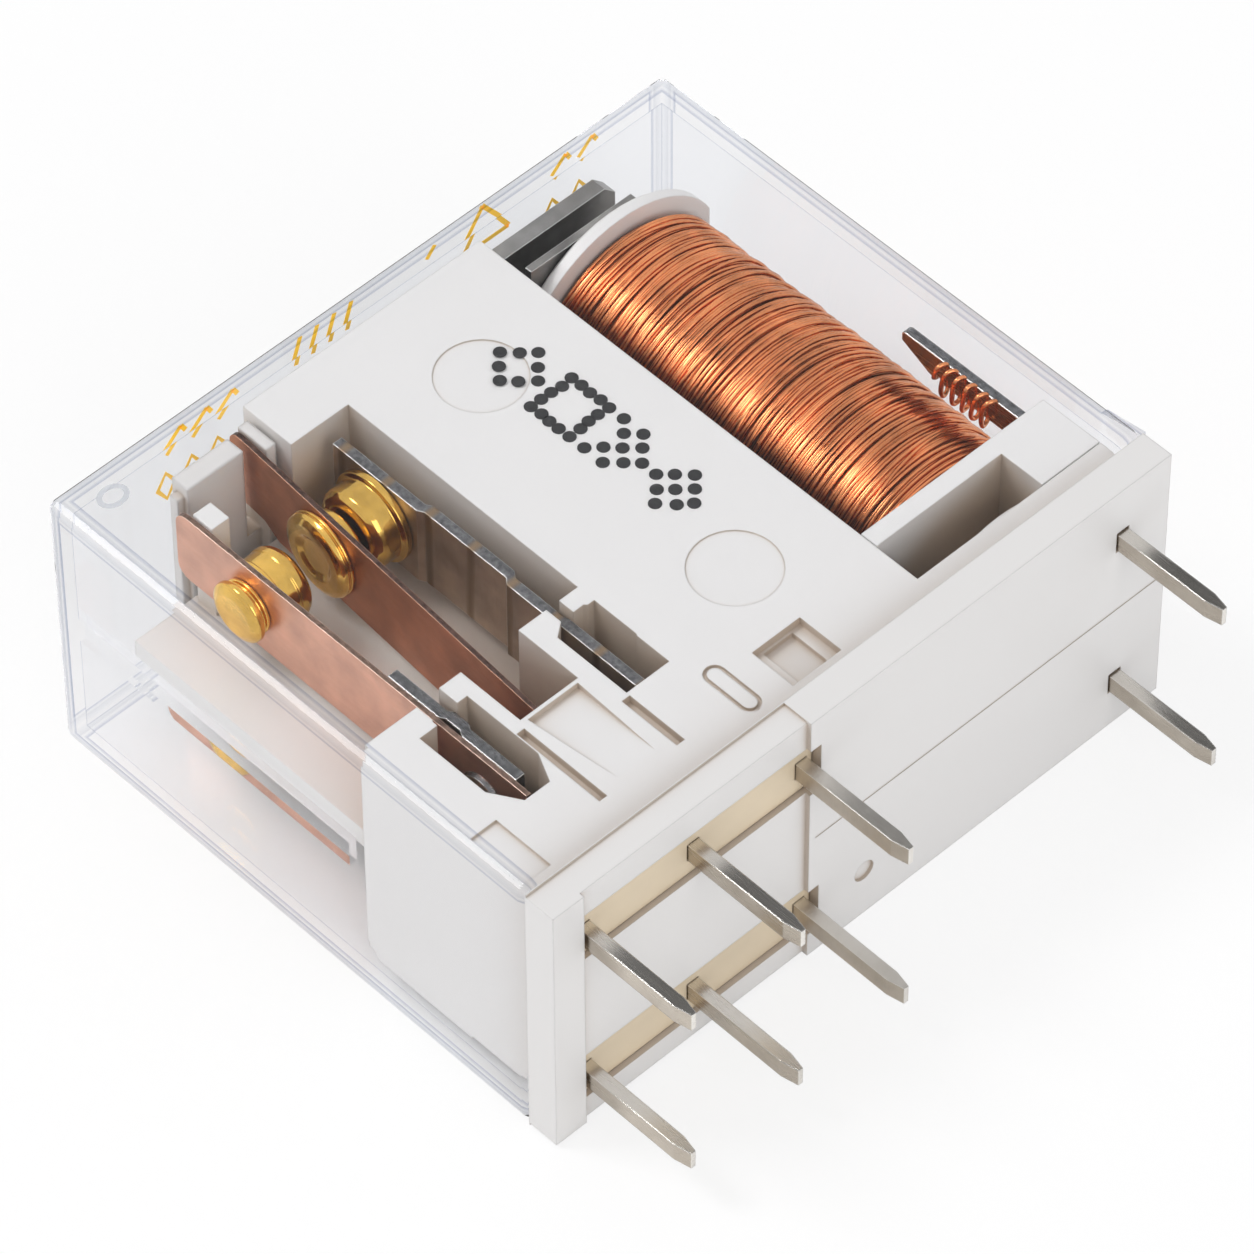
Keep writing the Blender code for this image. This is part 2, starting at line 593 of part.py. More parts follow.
def make_nc_side(name, side, metal, gold):
    """The normally closed contact: the long fixed strip and its big contact rivet."""
    centre = blade_centre(side)
    make_terminal(f"nc_terminal_{name}", side, NC_STRIP_X, NC_PIN_X, NC_STRIP_TOP_H, BLADE_WIDTH, CONTACT_H,
                  ((9.8, -0.06), (12.4, JOG), (16.7, 0)), metal)
    left = NC_STRIP_X - STRIP_THICKNESS / 2 - 0.02
    right = NC_STRIP_X + STRIP_THICKNESS / 2 + 0.02
    face = left - NC_HEAD_LENGTH
    rivet = [(face, NC_HEAD_RADIUS - 0.35), (face + 0.12, NC_HEAD_RADIUS - 0.1), (face + 0.3, NC_HEAD_RADIUS),
             (left - 0.32, NC_HEAD_RADIUS), (left - 0.3, NC_FLANGE_RADIUS), (left, NC_FLANGE_RADIUS),
             (left, SHANK_RADIUS), (right, SHANK_RADIUS), (right, 1.05), (right + 0.2, 0.9), (right + 0.3, 0.5)]
    place(turned(rivet, (0, CONTACT_H, centre), "X", 40), f"nc_contact_{name}", gold)


def make_com_side(name, side, metal, copper, gold):
    """The moving blade on its hinge line, its double contact, and the terminal that carries it."""
    z = blade_range(side)
    centre = blade_centre(side)
    pivot = (COM_ROOT_X, COM_ROOT_H, 0)
    root = -1.75
    outline = tidy_outline(blade_outline(z[0], z[1], root + 0.1, COM_TIP_H - COM_ROOT_H, side))
    sides = around(0, BLADE_THICKNESS)
    blade = prism(outline, sides[0], sides[1], "X")
    blade = place(blade, f"com_blade_{name}", copper, at=pivot, turn=-COM_LEAN)
    reach = CONTACT_H - COM_ROOT_H
    for label, h, radius in (("contact", reach, SHANK_RADIUS), ("rivet", root + 0.95, 0.4)):
        hole = turned([(-1, radius + 0.03), (1, radius + 0.03)], (0, h, centre), "X", 24)
        holder = place(hole, f"com_blade_{name}.{label}", at=pivot, turn=-COM_LEAN, guide=True)
        modifier = blade.modifiers.new(label, "BOOLEAN")
        modifier.operation = "DIFFERENCE"
        modifier.solver = "EXACT"
        modifier.object = holder
    left, right = sides[0] - 0.02, sides[1] + 0.02
    dish = 0.95
    rivet = [(left - COM_HEAD_LENGTH + 0.16, 0.02), (left - COM_HEAD_LENGTH + 0.14, dish - 0.2),
             (left - COM_HEAD_LENGTH, dish), (left - COM_HEAD_LENGTH, COM_HEAD_RADIUS - 0.35),
             (left - COM_HEAD_LENGTH + 0.1, COM_HEAD_RADIUS - 0.1), (left - 0.25, COM_HEAD_RADIUS),
             (left - 0.2, COM_HEAD_RADIUS - 0.12), (left - 0.14, COM_HEAD_RADIUS - 0.02),
             (left, COM_HEAD_RADIUS - 0.02), (left, SHANK_RADIUS), (right, SHANK_RADIUS),
             (right, COM_BACK_RADIUS), (right + 0.22, COM_BACK_RADIUS), (right + 0.26, COM_BACK_RADIUS - 0.15),
             (right + 0.5, COM_BACK_RADIUS - 0.12), (right + COM_BACK_LENGTH, COM_BACK_RADIUS - 0.4)]
    place(turned(rivet, (0, reach, centre), "X", 40), f"com_contact_{name}", gold, at=pivot, turn=-COM_LEAN)
    row = around(row_z(side), PIN_WIDTH)
    plate = around(COM_PLATE_X, COM_PLATE_THICKNESS)
    stem = prism(pin_outline(plate[0], plate[1], COM_PIN_X, 5.6, 6.0), row[0], row[1])
    terminal = place(stem, f"com_terminal_{name}", metal)
    join(terminal, box(plate, (5.4, 7.3), (z[0] + 0.2, z[1] - 0.2)), "plate")


# ---------------------------------------------------------------- magnet system

def make_bobbin(material):
    """The bobbin: a tube with a round far flange, a round near flange and a square near wall and block."""
    hub = CORE_RADIUS + FIT_GAP + HUB_WALL
    bore = CORE_RADIUS + FIT_GAP
    centre = (COIL_X, 0, MID_Z)
    far = BOBBIN_FAR_H
    tube = [(BOBBIN_NEAR_H, BOBBIN_NEAR_RADIUS), (BOBBIN_NEAR_H + BOBBIN_FLANGE, BOBBIN_NEAR_RADIUS),
            (BOBBIN_NEAR_H + BOBBIN_FLANGE, hub), (far - BOBBIN_FLANGE, hub),
            (far - BOBBIN_FLANGE, BOBBIN_RADIUS), (far - 0.1, BOBBIN_RADIUS), (far, BOBBIN_RADIUS - 0.1)]
    bobbin = place(turned(tube, centre, "Y", 56), "bobbin", material)
    full = (BODY_THICKNESS - FRAME_TOP_Z, FRAME_TOP_Z)
    left = FRAME_RIGHT_X + FIT_GAP
    wall_far = WINDING_NEAR_H - FIT_GAP
    height = (BOBBIN_NEAR_H - 1, far + 1)
    cut(bobbin, box((left - 2, left), height, (0, BODY_THICKNESS)), "left_flat")
    cut(bobbin, box((BOBBIN_RIGHT_X, BOBBIN_RIGHT_X + 2), height, (0, BODY_THICKNESS)), "right_flat")
    join(bobbin, box((left, BOBBIN_RIGHT_X), (BOBBIN_WALL_H, wall_far), full), "wall")
    join(bobbin, box((POCKET_RIGHT_X, BOBBIN_RIGHT_X), (BOBBIN_NEAR_H, wall_far - 0.2), full), "block")
    cut(bobbin, turned([(0, bore), (far + 1, bore)], centre, "Y", 32), "bore")
    seat = far - POLE_THICKNESS - FIT_GAP
    cut(bobbin, turned([(seat, POLE_RADIUS + FIT_GAP), (far + 1, POLE_RADIUS + FIT_GAP)], centre, "Y", 40), "seat")
    for name, side in POLES:
        z = both_sides(POST_TOP_Z - POST_WIDTH - 0.1, FRAME_TOP_Z - 0.3, side)
        low = (COIL_PIN_X - PIN_THICKNESS / 2 - 0.1, POST_X + POST_THICKNESS / 2 + 0.1)
        outer = POST_TOP_Z if side > 0 else BODY_THICKNESS - POST_TOP_Z
        inner = row_z(side) - side * PIN_WIDTH / 2
        row = (min(outer, inner) - 0.1, max(outer, inner) + 0.1)
        cut(bobbin, box(low, (0, 4.5), row), f"{name}_pin_way")
        cut(bobbin, box(around(POST_X, POST_THICKNESS + 0.1), (3.9, 9), z), f"{name}_post_way")


def make_winding(material):
    """The copper winding as one plain ring between the near wall and the far flange."""
    inner = CORE_RADIUS + HUB_WALL + 2 * FIT_GAP
    low = WINDING_NEAR_H
    high = BOBBIN_FAR_H - BOBBIN_FLANGE - FIT_GAP
    centre = (COIL_X, 0, MID_Z)
    bar = [(low, WINDING_RADIUS - 0.12), (low + 0.25, WINDING_RADIUS), (high - 0.25, WINDING_RADIUS),
           (high, WINDING_RADIUS - 0.12)]
    winding = place(turned(bar, centre, "Y", 56), "coil_winding", material)
    cut(winding, turned([(0, inner), (high + 1, inner)], centre, "Y", 32), "bore")


def make_core(material):
    """The soft iron core, riveted into the yoke's foot, with its pole head in the far flange."""
    head = BOBBIN_FAR_H + CORE_PROUD
    shank = CORE_RADIUS
    profile = [(YOKE_FOOT_H + FIT_GAP, shank - 0.1), (YOKE_FOOT_H + 0.15, shank), (head - POLE_THICKNESS, shank),
               (head - POLE_THICKNESS, POLE_RADIUS), (head - 0.1, POLE_RADIUS), (head, POLE_RADIUS - 0.1)]
    core = place(turned(profile, (COIL_X, 0, MID_Z), "Y", 32), "core", material)
    plate = (POLE_PLATE_LEFT_X, ARMATURE_RIGHT_X)
    tall = (BODY_THICKNESS - ARMATURE_TOP_Z, ARMATURE_TOP_Z)
    join(core, box(plate, (BOBBIN_FAR_H + FIT_GAP, head), tall), "pole_plate")


def make_yoke(material):
    """The L-shaped yoke: a foot under the coil and a long leg beside it."""
    z = (BODY_THICKNESS - YOKE_TOP_Z, YOKE_TOP_Z)
    foot_end = COIL_X + BOBBIN_NEAR_RADIUS - 1.9
    outline = [(YOKE_X, YOKE_FOOT_H), (foot_end, YOKE_FOOT_H), (foot_end, YOKE_FOOT_H + YOKE_FOOT),
               (YOKE_X + YOKE_THICKNESS, YOKE_FOOT_H + YOKE_FOOT), (YOKE_X + YOKE_THICKNESS, YOKE_FAR_H),
               (YOKE_X, YOKE_FAR_H)]
    yoke = place(prism(outline, z[0], z[1]), "yoke", material)
    hole = turned([(0, CORE_RADIUS + 0.03), (4, CORE_RADIUS + 0.03)], (COIL_X, 0, MID_Z), "Y", 32)
    cut(yoke, hole, "core_hole")


def make_armature(material):
    """The angled armature on the yoke's edge: a plate over the pole and a leg that drives the card."""
    pivot = (YOKE_X, (YOKE_FAR_H + ARMATURE_NEAR_H) / 2, 0)
    near = ARMATURE_NEAR_H - pivot[1]
    far = near + ARMATURE_THICKNESS
    left = ARMATURE_LEG_X - pivot[0]
    right = ARMATURE_RIGHT_X - pivot[0]
    z = (BODY_THICKNESS - ARMATURE_TOP_Z, ARMATURE_TOP_Z)
    corner = 0.5
    plate = place(box((left, right), (near, far), z), "armature", material, at=pivot)
    leg_z = around(MID_Z, ARMATURE_LEG_WIDTH)
    leg = box((left, left + ARMATURE_THICKNESS), (ARMATURE_LEG_END_H - pivot[1], far - 0.1), leg_z)
    leg.transform(Matrix.Translation(Vector(pivot) * MM))
    join(plate, leg, "leg")
    for label, side in POLES:
        tip = [(ARMATURE_RIGHT_X + 1, z[1] + 1), (ARMATURE_RIGHT_X - corner, z[1] + 1),
               (ARMATURE_RIGHT_X - corner, z[1]), (ARMATURE_RIGHT_X, z[1] - corner),
                (ARMATURE_RIGHT_X + 1, z[1] - corner)]
        bm = bmesh.new()
        rings = [[bm.verts.new((x, h, v)) for x, v in tip] for h in (ARMATURE_NEAR_H - 1, ARMATURE_NEAR_H + 2)]
        bm.faces.new(rings[0])
        bm.faces.new(rings[1])
        for i in range(len(tip)):
            j = (i + 1) % len(tip)
            bm.faces.new((rings[0][i], rings[0][j], rings[1][j], rings[1][i]))
        cut(plate, flip(to_mesh(bm, "corner"), side), f"{label}_corner")


def make_card(material):
    """The plastic card: a limb beside the armature leg, a beam, and the blocks on each side of the blades."""
    pivot = (0, CARD_NEAR_H, 0)
    beam_z = around(MID_Z, CARD_BEAM)
    limb_right = ARMATURE_LEG_X - FIT_GAP
    beam = box((CARD_BLOCK_LEFT_X, limb_right), (0, CARD_FAR_H - CARD_NEAR_H), beam_z)
    card = place(beam, "card", material, at=pivot)
    limb = box((limb_right - CARD_LIMB, limb_right), (ARMATURE_LEG_END_H - 0.6, CARD_FAR_H - 0.1), beam_z)
    join(card, limb, "limb")
    post_z = (BODY_THICKNESS - CARD_TOP_Z, CARD_TOP_Z)
    join(card, box((CARD_BLOCK_LEFT_X, CARD_BLOCK_RIGHT_X), (CARD_NEAR_H, CARD_FAR_H - 0.1), post_z), "block")
    step_z = (post_z[0] + 0.5, post_z[1] - 0.5)
    step_x = (CARD_BLOCK_LEFT_X - 0.3, CARD_BLOCK_LEFT_X + 0.3)
    join(card, box(step_x, (CARD_NEAR_H + 0.2, CARD_FAR_H - 0.3), step_z),
         "step")
    finger = (CARD_FINGER_X, CARD_FINGER_X + CARD_FINGER_THICKNESS)
    join(card, box(finger, (CARD_FINGER_NEAR_H, CARD_FAR_H + 0.05), post_z), "finger")


# ---------------------------------------------------------------- coil terminals and leads

def make_coil_terminal(name, side, material):
    """A coil pin that widens into a post for the wire, standing beside the winding."""
    row = around(row_z(side), PIN_WIDTH)
    left, right = around(COIL_PIN_X, PIN_THICKNESS)
    post = around(POST_X, POST_THICKNESS)
    tip = PIN_THICKNESS / 2 - 0.1
    outline = [(left, 3.6), (left, PIN_TIP - PIN_LENGTH), (left + tip, -PIN_LENGTH), (right - tip, -PIN_LENGTH),
               (right, PIN_TIP - PIN_LENGTH), (right, 3.0), (post[1], 3.0), (post[1], 4.4), (post[0], 4.4),
               (post[0], 3.6)]
    terminal = place(prism(outline, row[0], row[1]), f"coil_terminal_{name}", material)
    z1 = POST_TOP_Z
    z0 = POST_TOP_Z - POST_WIDTH
    blade = [(4.0, z0), (8.6, z0), (8.75, z0 + 0.25), (8.9, z0), (9.2, z0), (9.35, z0 + 0.25), (9.5, z0),
             (9.9, z0 + 0.1), (POST_FAR_H, z1 - 0.45), (POST_FAR_H, z1 - 0.1), (POST_FAR_H - 0.15, z1), (4.0, z1)]
    plate = flip(prism(blade, post[0] + 0.01, post[1] - 0.01, "X"), side)
    join(terminal, plate, "post")


def make_coil_lead(name, side, material):
    """The end of the coil wire, from the winding's near end across to the foot of the post."""
    z = MID_Z + side * (POST_TOP_Z - POST_WIDTH - 0.35 - MID_Z)
    start = Vector((COIL_X + 1.6, WINDING_NEAR_H + 0.55, MID_Z + side * 4.42))
    end = Vector((POST_X - POST_THICKNESS / 2 - 0.2, 8.75, z + side * 0.35))
    bend = Vector((start.x + 1.0, start.y + 0.5, start.z - side * 0.05))
    points = []
    for step in range(9):
        t = step / 8
        points.append(start * (1 - t) ** 2 + bend * 2 * t * (1 - t) + end * t ** 2)
    curve = bpy.data.curves.new(f"coil_lead_{name}", "CURVE")
    curve.dimensions = "3D"
    curve.bevel_depth = LEAD_RADIUS * MM
    curve.bevel_resolution = 2
    curve.use_fill_caps = True
    spline = curve.splines.new("POLY")
    spline.points.add(len(points) - 1)
    for point, place_at in zip(spline.points, points):
        point.co = (*(place_at * MM), 1)
    lead = bpy.data.objects.new(f"coil_lead_{name}", curve)
    bpy.context.collection.objects.link(lead)
    lead.parent = ORIGIN
    curve.materials.append(material)


# ---------------------------------------------------------------- assembly

clear_scene()
ORIGIN = make_origin()
CLEAR = make_material("clear_polycarbonate", (0.93, 0.95, 0.98), 0.05, transmission=1.0)
WHITE = make_material("white_plastic", (0.88, 0.88, 0.87), 0.4)
GREY_WHITE = make_material("card_plastic", (0.78, 0.78, 0.76), 0.45)
RESIN = make_material("sealing_resin", (0.72, 0.60, 0.42), 0.45)
TINNED = make_material("tinned_metal", (0.66, 0.62, 0.57), 0.3, 1.0)
COPPER = make_material("blade_copper", (0.80, 0.45, 0.32), 0.3, 1.0)
GOLD = make_material("contact_gold", (0.80, 0.58, 0.22), 0.2, 1.0)
STEEL = make_material("magnet_steel", (0.42, 0.41, 0.40), 0.4, 1.0)
WIRE = make_material("enamelled_wire", (0.72, 0.33, 0.16), 0.3, 1.0)

make_base(WHITE)
make_resin(RESIN)
make_cover(CLEAR)
make_bobbin(WHITE)
make_winding(WIRE)
make_core(STEEL)
make_yoke(STEEL)
make_armature(STEEL)
make_card(GREY_WHITE)
for pole, direction in POLES:
    make_no_side(pole, direction, TINNED, COPPER, GOLD)
    make_nc_side(pole, direction, TINNED, GOLD)
    make_com_side(pole, direction, TINNED, COPPER, GOLD)
    make_coil_terminal(pole, direction, TINNED)
    make_coil_lead(pole, direction, WIRE)
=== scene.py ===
import math

import bpy
import numpy as np
from mathutils import Matrix, Vector


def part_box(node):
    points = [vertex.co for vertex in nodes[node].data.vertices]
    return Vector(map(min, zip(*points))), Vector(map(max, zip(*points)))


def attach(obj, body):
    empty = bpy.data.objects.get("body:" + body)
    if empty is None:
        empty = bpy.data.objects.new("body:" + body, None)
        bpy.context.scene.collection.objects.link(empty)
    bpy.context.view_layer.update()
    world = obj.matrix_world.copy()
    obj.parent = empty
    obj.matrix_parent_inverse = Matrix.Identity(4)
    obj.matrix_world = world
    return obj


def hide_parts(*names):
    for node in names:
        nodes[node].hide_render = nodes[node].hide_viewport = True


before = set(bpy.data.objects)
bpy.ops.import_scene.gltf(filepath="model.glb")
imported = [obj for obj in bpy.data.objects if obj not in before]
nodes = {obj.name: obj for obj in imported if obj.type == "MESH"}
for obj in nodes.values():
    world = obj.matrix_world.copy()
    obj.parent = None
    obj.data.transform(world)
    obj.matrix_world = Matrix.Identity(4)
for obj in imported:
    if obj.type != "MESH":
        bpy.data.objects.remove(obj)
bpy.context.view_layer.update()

MM = 0.001

# ---------------------------------------------------------------- bench
# The relay lies on a white bench under two soft lamps. The camera looks down on the contact end and the pin
# side.

CAMERA_AT = (-133.97, -139.39, 234.74)
CAMERA_HEADING = -43.506
CAMERA_ELEVATION = 49.735
CAMERA_ROLL = -0.325
CAMERA_LENS = 249.94
SENSOR = 36.0

camera = bpy.data.objects.new("camera", bpy.data.cameras.new("camera"))
bpy.context.scene.collection.objects.link(camera)
camera.data.lens = CAMERA_LENS
camera.data.sensor_width = SENSOR
camera.data.clip_end = 10.0
camera.matrix_world = (
    Matrix.Translation(Vector(CAMERA_AT) * MM)
    @ Matrix.Rotation(math.radians(CAMERA_HEADING), 4, "Z")
    @ Matrix.Rotation(math.radians(90 - CAMERA_ELEVATION), 4, "X")
    @ Matrix.Rotation(math.radians(CAMERA_ROLL), 4, "Z")
)
bpy.context.scene.camera = camera
bpy.context.scene.view_settings.view_transform = "Standard"


def soft_lamp(name, place, size, watts, aim=(0, 0, 0.006)):
    """A square soft lamp at a place in metres, turned to face the relay."""
    data = bpy.data.lights.new(name, "AREA")
    data.shape = "SQUARE"
    data.size = size
    data.energy = watts
    lamp = bpy.data.objects.new(name, data)
    bpy.context.scene.collection.objects.link(lamp)
    lamp.location = place
    lamp.rotation_euler = (Vector(aim) - Vector(place)).to_track_quat("-Z", "Y").to_euler()
    return lamp


soft_lamp("key_lamp", (-0.25, 0.30, 0.55), 0.20, 1.45)
soft_lamp("fill_lamp", (-0.12, -0.52, 0.35), 0.35, 1.0)

world = bpy.data.worlds.new("studio")
bpy.context.scene.world = world
world.use_nodes = True
tree = world.node_tree
tree.nodes.clear()
path = tree.nodes.new("ShaderNodeLightPath")
place = tree.nodes.new("ShaderNodeTexCoord")
split = tree.nodes.new("ShaderNodeSeparateXYZ")
tree.links.new(place.outputs["Generated"], split.inputs["Vector"])


def sky(stops):
    """A background whose grey follows the height of the direction, through the given stops."""
    ramp = tree.nodes.new("ShaderNodeValToRGB")
    ramp.color_ramp.elements[0].position, ramp.color_ramp.elements[1].position = stops[0][0], stops[-1][0]
    for position, _ in stops[1:-1]:
        ramp.color_ramp.elements.new(position)
    for element, (_, grey) in zip(ramp.color_ramp.elements, stops):
        element.color = (grey, grey, grey * 1.01, 1)
    shine = tree.nodes.new("ShaderNodeBackground")
    tree.links.new(split.outputs["Z"], ramp.inputs["Fac"])
    tree.links.new(ramp.outputs["Color"], shine.inputs["Color"])
    return shine


def choose(mask, first, second):
    """The second shader where the mask is one, otherwise the first."""
    swap = tree.nodes.new("ShaderNodeMixShader")
    tree.links.new(mask, swap.inputs["Fac"])
    tree.links.new(first, swap.inputs[1])
    tree.links.new(second, swap.inputs[2])
    return swap.outputs["Shader"]


# Surfaces are lit by an even sky. Polished ones mirror a white sweep with a dark ceiling, and the eye sees
# white.
even = sky(((0.0, 0.60), (1.0, 0.66)))
sweep = sky(((0.0, 0.80), (0.20, 0.55), (0.38, 0.20), (0.70, 0.06), (0.84, 0.14), (1.0, 0.45)))
seen = tree.nodes.new("ShaderNodeBackground")
seen.inputs["Color"].default_value = (1, 1, 1, 1)
lit = choose(path.outputs["Is Glossy Ray"], even.outputs["Background"], sweep.outputs["Background"])
lit = choose(path.outputs["Is Transmission Ray"], lit, seen.outputs["Background"])
lit = choose(path.outputs["Is Camera Ray"], lit, seen.outputs["Background"])
sky_out = tree.nodes.new("ShaderNodeOutputWorld")
tree.links.new(lit, sky_out.inputs["Surface"])

FLOOR_REACH = 3.0
FLOOR_LEVEL = -0.00002
FLOOR_GLOW = 0.75

floor_mesh = bpy.data.meshes.new("floor")
FLOOR_CORNERS = ((-1, -1), (1, -1), (1, 1), (-1, 1))
floor_points = [(FLOOR_REACH * a, FLOOR_REACH * b, FLOOR_LEVEL) for a, b in FLOOR_CORNERS]
floor_mesh.from_pydata(floor_points, [], [(0, 1, 2, 3)])
floor = bpy.data.objects.new("floor", floor_mesh)
bpy.context.scene.collection.objects.link(floor)
floor_paint = bpy.data.materials.new("floor_paint")
floor_paint.use_nodes = True
floor_shader = floor_paint.node_tree.nodes["Principled BSDF"]
floor_shader.inputs["Base Color"].default_value = (0.97, 0.97, 0.97, 1)
floor_shader.inputs["Roughness"].default_value = 0.9
floor_shader.inputs["Specular IOR Level"].default_value = 0.1
tree = floor_paint.node_tree
bright = tree.nodes.new("ShaderNodeEmission")
path = tree.nodes.new("ShaderNodeLightPath")
share = tree.nodes.new("ShaderNodeMath")
share.operation = "MULTIPLY"
share.inputs[1].default_value = FLOOR_GLOW
floor_mix = tree.nodes.new("ShaderNodeMixShader")
tree.links.new(path.outputs["Is Camera Ray"], share.inputs[0])
tree.links.new(share.outputs[0], floor_mix.inputs["Fac"])
tree.links.new(floor_shader.outputs["BSDF"], floor_mix.inputs[1])
tree.links.new(bright.outputs["Emission"], floor_mix.inputs[2])
tree.links.new(floor_mix.outputs["Shader"], tree.nodes["Material Output"].inputs["Surface"])
floor_mesh.materials.append(floor_paint)

# ---------------------------------------------------------------- moulded base
# The base is one moulding in white glass-filled plastic: its skin is satin, faintly mottled, and every edge
# is slightly round. The same skin group serves all the plastics, each with its own values.


def socket(group, name, kind, way, value=None):
    """Adds one named socket to a node group."""
    made = group.interface.new_socket(name=name, in_out=way, socket_type=kind)
    if value is not None:
        made.default_value = value
    return made


HOLLOW_REACH = 9.0
GRAIN_DEPTH = 0.01


def moulded_skin():
    """Node group: a mottled colour with painted warm shade in hollows, a varied roughness, and a normal with
    round edges and a fine grain."""
    group = bpy.data.node_groups.new("moulded_skin", "ShaderNodeTree")
    socket(group, "Colour", "NodeSocketColor", "INPUT", (0.8, 0.8, 0.8, 1))
    socket(group, "Mottle", "NodeSocketFloat", "INPUT", 0.03)
    socket(group, "Roughness", "NodeSocketFloat", "INPUT", 0.4)
    socket(group, "Grain", "NodeSocketFloat", "INPUT", 0.1)
    socket(group, "Round", "NodeSocketFloat", "INPUT", 0.09 * MM)
    socket(group, "Depth", "NodeSocketFloat", "INPUT", 0.7)
    socket(group, "Colour", "NodeSocketColor", "OUTPUT")
    socket(group, "Roughness", "NodeSocketFloat", "OUTPUT")
    socket(group, "Normal", "NodeSocketVector", "OUTPUT")
    inside, outside = group.nodes.new("NodeGroupInput"), group.nodes.new("NodeGroupOutput")
    where = group.nodes.new("ShaderNodeTexCoord")
    cloud = group.nodes.new("ShaderNodeTexNoise")
    cloud.inputs["Scale"].default_value = 260
    cloud.inputs["Detail"].default_value = 3
    grain = group.nodes.new("ShaderNodeTexNoise")
    grain.inputs["Scale"].default_value = 9000
    grain.inputs["Detail"].default_value = 2
    for noise in (cloud, grain):
        group.links.new(where.outputs["Object"], noise.inputs["Vector"])
    spread = group.nodes.new("ShaderNodeMath")
    spread.operation = "MULTIPLY_ADD"
    spread.inputs[1].default_value = 1.0
    spread.inputs[2].default_value = -0.5
    scaled = group.nodes.new("ShaderNodeMath")
    scaled.operation = "MULTIPLY"
    lift = group.nodes.new("ShaderNodeMath")
    lift.operation = "ADD"
    lift.inputs[1].default_value = 1.0
    tone = group.nodes.new("ShaderNodeVectorMath")
    tone.operation = "SCALE"
    group.links.new(cloud.outputs["Fac"], spread.inputs[0])
    group.links.new(spread.outputs[0], scaled.inputs[0])
    group.links.new(inside.outputs["Mottle"], scaled.inputs[1])
    group.links.new(scaled.outputs[0], lift.inputs[0])
    group.links.new(inside.outputs["Colour"], tone.inputs[0])
    group.links.new(lift.outputs[0], tone.inputs["Scale"])
    # Painted shade: the colour is pulled towards a warm brown where ambient occlusion finds close surfaces.
    hollow = group.nodes.new("ShaderNodeAmbientOcclusion")
    hollow.only_local = True
    hollow.samples = 6
    hollow.inputs["Distance"].default_value = HOLLOW_REACH * MM
    deep = group.nodes.new("ShaderNodeMapRange")
    deep.inputs["From Min"].default_value = 0.95
    deep.inputs["From Max"].default_value = 0.4
    shade_amount = group.nodes.new("ShaderNodeMath")
    shade_amount.operation = "MULTIPLY"
    painted_shade = group.nodes.new("ShaderNodeMix")
    painted_shade.data_type = "RGBA"
    painted_shade.inputs["B"].default_value = (0.46, 0.35, 0.25, 1)
    group.links.new(hollow.outputs["AO"], deep.inputs["Value"])
    group.links.new(deep.outputs["Result"], shade_amount.inputs[0])
    group.links.new(inside.outputs["Depth"], shade_amount.inputs[1])
    group.links.new(shade_amount.outputs[0], painted_shade.inputs["Factor"])
    group.links.new(tone.outputs[0], painted_shade.inputs["A"])
    group.links.new(painted_shade.outputs["Result"], outside.inputs["Colour"])
    rough = group.nodes.new("ShaderNodeMath")
    rough.operation = "MULTIPLY_ADD"
    rough.inputs[1].default_value = 0.15
    group.links.new(cloud.outputs["Fac"], rough.inputs[0])
    group.links.new(inside.outputs["Roughness"], rough.inputs[2])
    group.links.new(rough.outputs[0], outside.inputs["Roughness"])
    edge = group.nodes.new("ShaderNodeBevel")
    edge.samples = 6
    group.links.new(inside.outputs["Round"], edge.inputs["Radius"])
    bump = group.nodes.new("ShaderNodeBump")
    bump.inputs["Distance"].default_value = GRAIN_DEPTH * MM
    group.links.new(inside.outputs["Grain"], bump.inputs["Strength"])
    group.links.new(grain.outputs["Fac"], bump.inputs["Height"])
    group.links.new(edge.outputs["Normal"], bump.inputs["Normal"])
    group.links.new(bump.outputs["Normal"], outside.inputs["Normal"])
    return group


SKIN = moulded_skin()


def plastic(name, colour, roughness, mottle=0.03, grain=0.15, rounded=0.09, hollow_shade=0.85):
    """A moulded plastic made with the skin group."""
    material = bpy.data.materials.new(name)
    material.use_nodes = True
    tree = material.node_tree
    shader = tree.nodes["Principled BSDF"]
    skin = tree.nodes.new("ShaderNodeGroup")
    skin.node_tree = SKIN
    skin.inputs["Colour"].default_value = (*colour, 1)
    skin.inputs["Mottle"].default_value = mottle
    skin.inputs["Roughness"].default_value = roughness
    skin.inputs["Grain"].default_value = grain
    skin.inputs["Round"].default_value = rounded * MM
    # The hollow shade sets how strongly shade is painted into hollows.
    skin.inputs["Depth"].default_value = hollow_shade
    tree.links.new(skin.outputs["Colour"], shader.inputs["Base Color"])
    tree.links.new(skin.outputs["Roughness"], shader.inputs["Roughness"])
    tree.links.new(skin.outputs["Normal"], shader.inputs["Normal"])
    return material


def coat(material, *names):
    """Gives CAD nodes a material in place of their plain one."""
    for name in names:
        piece = nodes[name]
        if not piece.material_slots:
            piece.data.materials.append(material)
        for place in piece.material_slots:
            place.material = material


white_plastic = plastic("white_plastic", (0.775, 0.762, 0.752), 0.38)
coat(white_plastic, "base", "bobbin")

# ---------------------------------------------------------------- sealing resin
# Tan epoxy poured into the two pin channels: it is glossy and cloudy.

sealing_resin = plastic("sealing_resin", (0.74, 0.62, 0.45), 0.30, 0.35, 0.3, hollow_shade=0.0)
coat(sealing_resin, "seal_resin_upper", "seal_resin_lower")
